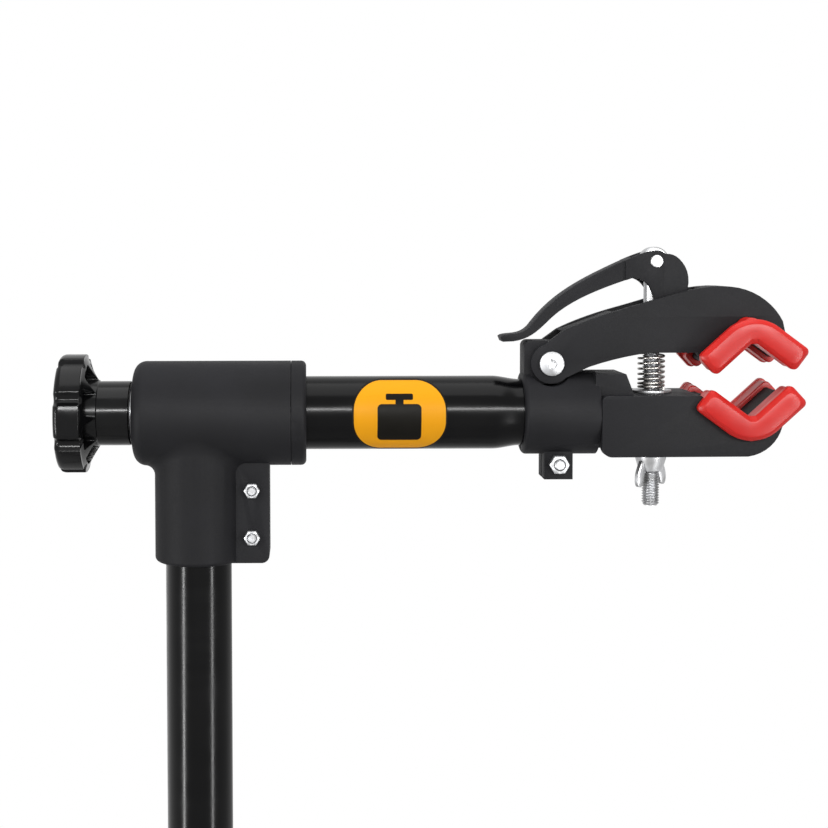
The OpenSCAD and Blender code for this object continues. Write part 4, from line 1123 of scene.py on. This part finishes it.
@dataclass
class DrawBolt(SubAssembly):
    """The draw bolt with its eye, spring, washers and wing nut, and the cam lever with its pin."""

    x: float = 260.9
    diameter: float = 10.0
    shank_d: float = 9.2
    low: float = -54.0
    thread_top: float = 58.0
    pin: Pair = (261.7, 86.6)
    pin_d: float = 7.3
    pin_half: float = 9.6
    eye_hole: float = 3.73
    eye_r: float = 8.2
    pitch: float = 1.5
    spring_r: float = 7.15
    wire_r: float = 0.7
    spring_low: float = 13.55
    spring_high: float = 33.8
    closed_curls: float = 2.0
    closed_pitch: float = 1.9
    open_curls: float = 5.5
    washer_hole: float = 10.2
    washer_t: float = 1.5
    wing_top: float = -25.1

    def bolt(self) -> None:
        """The threaded rod below, a plain shank above it, and an eye with a hole for the pin."""
        shell = Shell("draw_bolt_threaded")
        Seat(shell, head_point(self.x, 0, self.thread_top), Axis.DOWN).thread(
            self.diameter, self.thread_top - self.low, self.pitch, 1.4, 32)
        Seat(shell, head_point(self.x, 0, self.thread_top - 2), Axis.UP).rod(
            self.shank_d, self.pin[1] - self.thread_top - 3.6, 0.2)
        hole, half = self.eye_hole, self.diameter / 2
        profile = soft_profile([(0, hole, 0), (-half, hole, 0.5), (-half, self.eye_r, 1.6),
                                (half, self.eye_r, 1.6), (half, hole, 0.5), (0, hole, 0)], 6)[:-1]
        shell.turn(*profile.T, head_point(self.pin[0], 0, self.pin[1]), Axis.BACK, loop=True)
        self.fit(shell, "arm", "draw_bolt")

    def spring(self) -> None:
        """The spring: a round wire carried along a helix that is tight below and open above."""
        closed = self.closed_curls * self.closed_pitch
        open_pitch = (self.spring_high - self.spring_low - closed) / self.open_curls
        curl = np.linspace(0.0, self.closed_curls + self.open_curls, 300)
        soft = 0.25
        ramp = np.logaddexp(0.0, (curl - self.closed_curls) / soft) * soft
        more = (open_pitch - self.closed_pitch) * ramp
        height = self.spring_low + self.closed_pitch * curl + more
        turn = 2 * np.pi * curl
        out = np.stack([np.cos(turn), np.sin(turn), 0 * turn], -1)
        middle = np.stack([0 * turn + self.x, 0 * turn, height + ARM_HEIGHT], -1)
        centre = middle + out * self.spring_r
        ahead = np.gradient(centre, axis=0)
        ahead /= np.linalg.norm(ahead, axis=1, keepdims=True)
        up = np.cross(ahead, out)
        ring = np.linspace(0, 2 * np.pi, 14, endpoint=False)[:, None]
        section = out[:, None] * np.cos(ring) + up[:, None] * np.sin(ring)
        grid = centre[:, None] + self.wire_r * section
        ends = centre[[0, -1], None] + 0 * ring
        shell = Shell("jaw_spring_wire").add(np.concatenate([ends[:1], grid, ends[1:]]))
        piece = shell.finish(50.0)
        self.finishes.dress(piece, "spring_steel")
        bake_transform(piece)
        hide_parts("jaw_spring")
        LOG.info("jaw_spring_wire: new piece between arm and upper jaw")

    def wing(self, shell: Shell, turn: float) -> None:
        """One wing of the nut: a thick leaf, its outline shrunk towards its two faces.

        Args:
            shell: Receives the wing.
            turn: Its direction from +X, in degrees.
        """
        handles = np.array([
            (5.0, -1.4), (7.4, -1.2), (8.8, -2.4), (10.2, -5.6), (11.6, -8.4), (12.6, -10.2),
            (12.5, -14.0), (12.4, -17.4), (10.2, -18.6), (8.6, -17.0), (7.2, -14.8), (6.6, -11.5),
            (5.0, -8.6)])
        share = np.linspace(0.0, 1.0, 10, endpoint=False)[:, None]
        outline = np.vstack([cubic(*handles[i:i + 4], share) for i in (0, 3, 6, 9)])
        middle = outline.mean(axis=0)
        cos, sin = math.cos(math.radians(turn)), math.sin(math.radians(turn))
        grid = []
        for depth, shrink in ((-1.6, 0.0), (-1.6, 0.8), (-1.1, 1.0), (1.1, 1.0), (1.6, 0.8),
                              (1.6, 0.0)):
            x, z = (middle + (outline - middle) * shrink).T
            grid.append(np.stack([self.x + x * cos - depth * sin, x * sin + depth * cos,
                                  z + self.wing_top + ARM_HEIGHT], -1))
        shell.add(np.stack(grid))

    def build(self) -> None:
        """Makes and dresses the draw bolt's pieces, the cam lever and its pin."""
        self.bolt()
        self.spring()
        for name, body, node, z, width in (
                ("spring_seat_washer", "arm", "spring_washer", 11.3, 22.6),
                ("wing_nut_washer", "nut_washer", "nut_washer", -24.9, 21.0)):
            washer = Shell(name)
            seat = Seat(washer, head_point(self.x, 0, z), Axis.UP)
            seat.ring(self.washer_hole, width, self.washer_t)
            self.fit(washer, body, node)
        hole, hub_l = 5.1, 9.0
        profile = soft_profile([(-4.0, hole, 0), (0, hole, 0.5), (0, 9.2, 0.8), (-hub_l, 6.6, 1.0),
                                (-hub_l, hole, 0.5), (-4.0, hole, 0)])[:-1]
        wing_nut = Shell("wing_nut_cast")
        wing_nut.turn(*profile.T, head_point(self.x, 0, self.wing_top), Axis.UP, loop=True)
        for turn in (38.0, 218.0):
            self.wing(wing_nut, turn)
        self.fit(wing_nut, "wing_nut", "wing_nut")
        self.soften("cam_lever", "charcoal_casting", 1.0)
        pin = Shell("lever_pin_turned")
        Seat(pin, head_point(self.pin[0], -self.pin_half, self.pin[1]), Axis.BACK).rod(
            self.pin_d, 2 * self.pin_half, 0.7)
        self.fit(pin, "cam_lever", "lever_pin")


# ---------------------------------------------------------------- light, floor and camera


@dataclass
class Studio:
    """The camera at the photograph's angle, a white surround, a pale floor and soft lamps."""

    place: Point = (0.0627, -0.8502, 1.3412)
    pitch: float = 2.5
    roll: float = 0.169
    lens: float = 64.39
    shift: Pair = (0.13, -0.115)
    ambient: float = 0.45

    def camera(self) -> None:
        """Puts the camera where the photograph was taken from and makes it the scene's."""
        data = bpy.data.cameras.new("photo_camera")
        data.lens, data.sensor_width = self.lens, 36.0
        data.shift_x, data.shift_y = self.shift
        data.clip_start, data.clip_end = 0.02, 60.0
        camera = bpy.data.objects.new("photo_camera", data)
        camera.location = self.place
        camera.rotation_euler = (math.radians(90.0 - self.pitch), math.radians(self.roll), 0.0)
        bpy.context.scene.collection.objects.link(camera)
        bpy.context.scene.camera = camera

    def surround(self) -> None:
        """White to the camera and to mirrors and glass, an even soft level for all other light."""
        world = bpy.data.worlds.new("white_surround")
        bpy.context.scene.world = world
        world.use_nodes = True
        tree = world.node_tree
        tree.nodes.clear()
        rays = add_node(tree, "LightPath", {}).outputs
        seen = rays["Is Camera Ray"]
        for ray in ("Is Glossy Ray", "Is Transmission Ray"):
            seen = add_node(tree, "Math", {0: seen, 1: rays[ray]}, operation="MAXIMUM").outputs[0]
        even, white = (add_node(tree, "Background", {"Color": (1.0, 1.0, 1.0), "Strength": level})
                       for level in (self.ambient, 1.0))
        mix = add_node(tree, "MixShader", {0: seen, 1: even.outputs[0], 2: white.outputs[0]})
        add_node(tree, "OutputWorld", {"Surface": mix.outputs[0]})

    def floor(self) -> None:
        """A round pale floor whose rim fades into the surround."""
        radii = np.array([0.0, 600.0, 1200.0, 2000.0])
        floor = Shell("studio_floor").turn(0 * radii, radii, np.zeros(3), Axis.UP, 64).finish()
        s = Surface("pale_floor")
        x, y, _ = s.axes()
        reach = s.math("SQRT", s.math("ADD", s.math("POWER", x, 2.0), s.math("POWER", y, 2.0)))
        s.bump(s.noise(40.0, 3.0), 0.02, 0.001)
        floor.data.materials.append(s.finish(
            Base_Color=(0.86, 0.86, 0.86), Roughness=0.75, Specular_IOR_Level=0.2,
            Alpha=s.scale(reach, 1.0, 1.95, 1.0, 0.0)))

    def lamp(self, name: str, place: Point, aim: Point, size: Pair, power: float,
             fill: bool = True, shine: bool = True) -> None:
        """A soft rectangular lamp that looks at a point.

        Args:
            name: The lamp's name.
            place: Where it stands, in metres.
            aim: What it looks at.
            size: Its width and height.
            power: In watts.
            fill: Whether it lights matte surfaces.
            shine: Whether glossy surfaces mirror it.
        """
        data = bpy.data.lights.new(name, "AREA")
        data.shape, data.size, data.size_y, data.energy = "RECTANGLE", *size, power
        lamp = bpy.data.objects.new(name, data)
        back = np.array(place) - np.array(aim)
        back /= np.linalg.norm(back)
        side, _ = across(back)
        for column, axis in enumerate((side, np.cross(back, side), back)):
            for row in range(3):
                lamp.matrix_world[row][column] = axis[row]
        lamp.location = place
        lamp.visible_diffuse, lamp.visible_glossy = fill, shine
        bpy.context.scene.collection.objects.link(lamp)

    def build(self) -> None:
        """Sets up the light and the floor."""
        bpy.context.scene.view_settings.view_transform = "Standard"
        self.surround()
        self.floor()
        head, mast, window, strip = (0.1, 0.0, 1.2), (0.0, 0.0, 0.9), (0.6, 1.1), (0.14, 1.2)
        self.lamp("lamp_left", (-1.3, -1.7, 2.1), head, window, 20.0, shine=False)
        self.lamp("lamp_right", (1.7, -1.5, 2.0), head, window, 15.0, shine=False)
        self.lamp("lamp_top", (0.1, -0.2, 3.4), (0.0, 0.0, 0.0), (2.0, 2.0), 26.0)
        self.lamp("strip_level", (0.3, -1.9, 1.8), head, (2.4, 0.1), 66.0, fill=False)
        self.lamp("strip_left", (-1.7, -1.06, 0.85), mast, strip, 38.0, fill=False)
        self.lamp("strip_right", (1.34, -1.49, 0.85), mast, strip, 24.0, fill=False)


def main() -> None:
    """Builds the studio and every sub-assembly."""
    logging.basicConfig(level=logging.INFO, format="%(name)s: %(message)s")
    studio = Studio()
    studio.camera()
    studio.build()
    finishes = Finishes()
    for part in (Base(finishes), HeightCollar(finishes), Head(finishes), Arm(finishes),
                 Knob(finishes), Clamp(finishes), DrawBolt(finishes)):
        part.build()
        LOG.info("%s built", type(part).__name__)


if __name__ == "__main__":
    main()
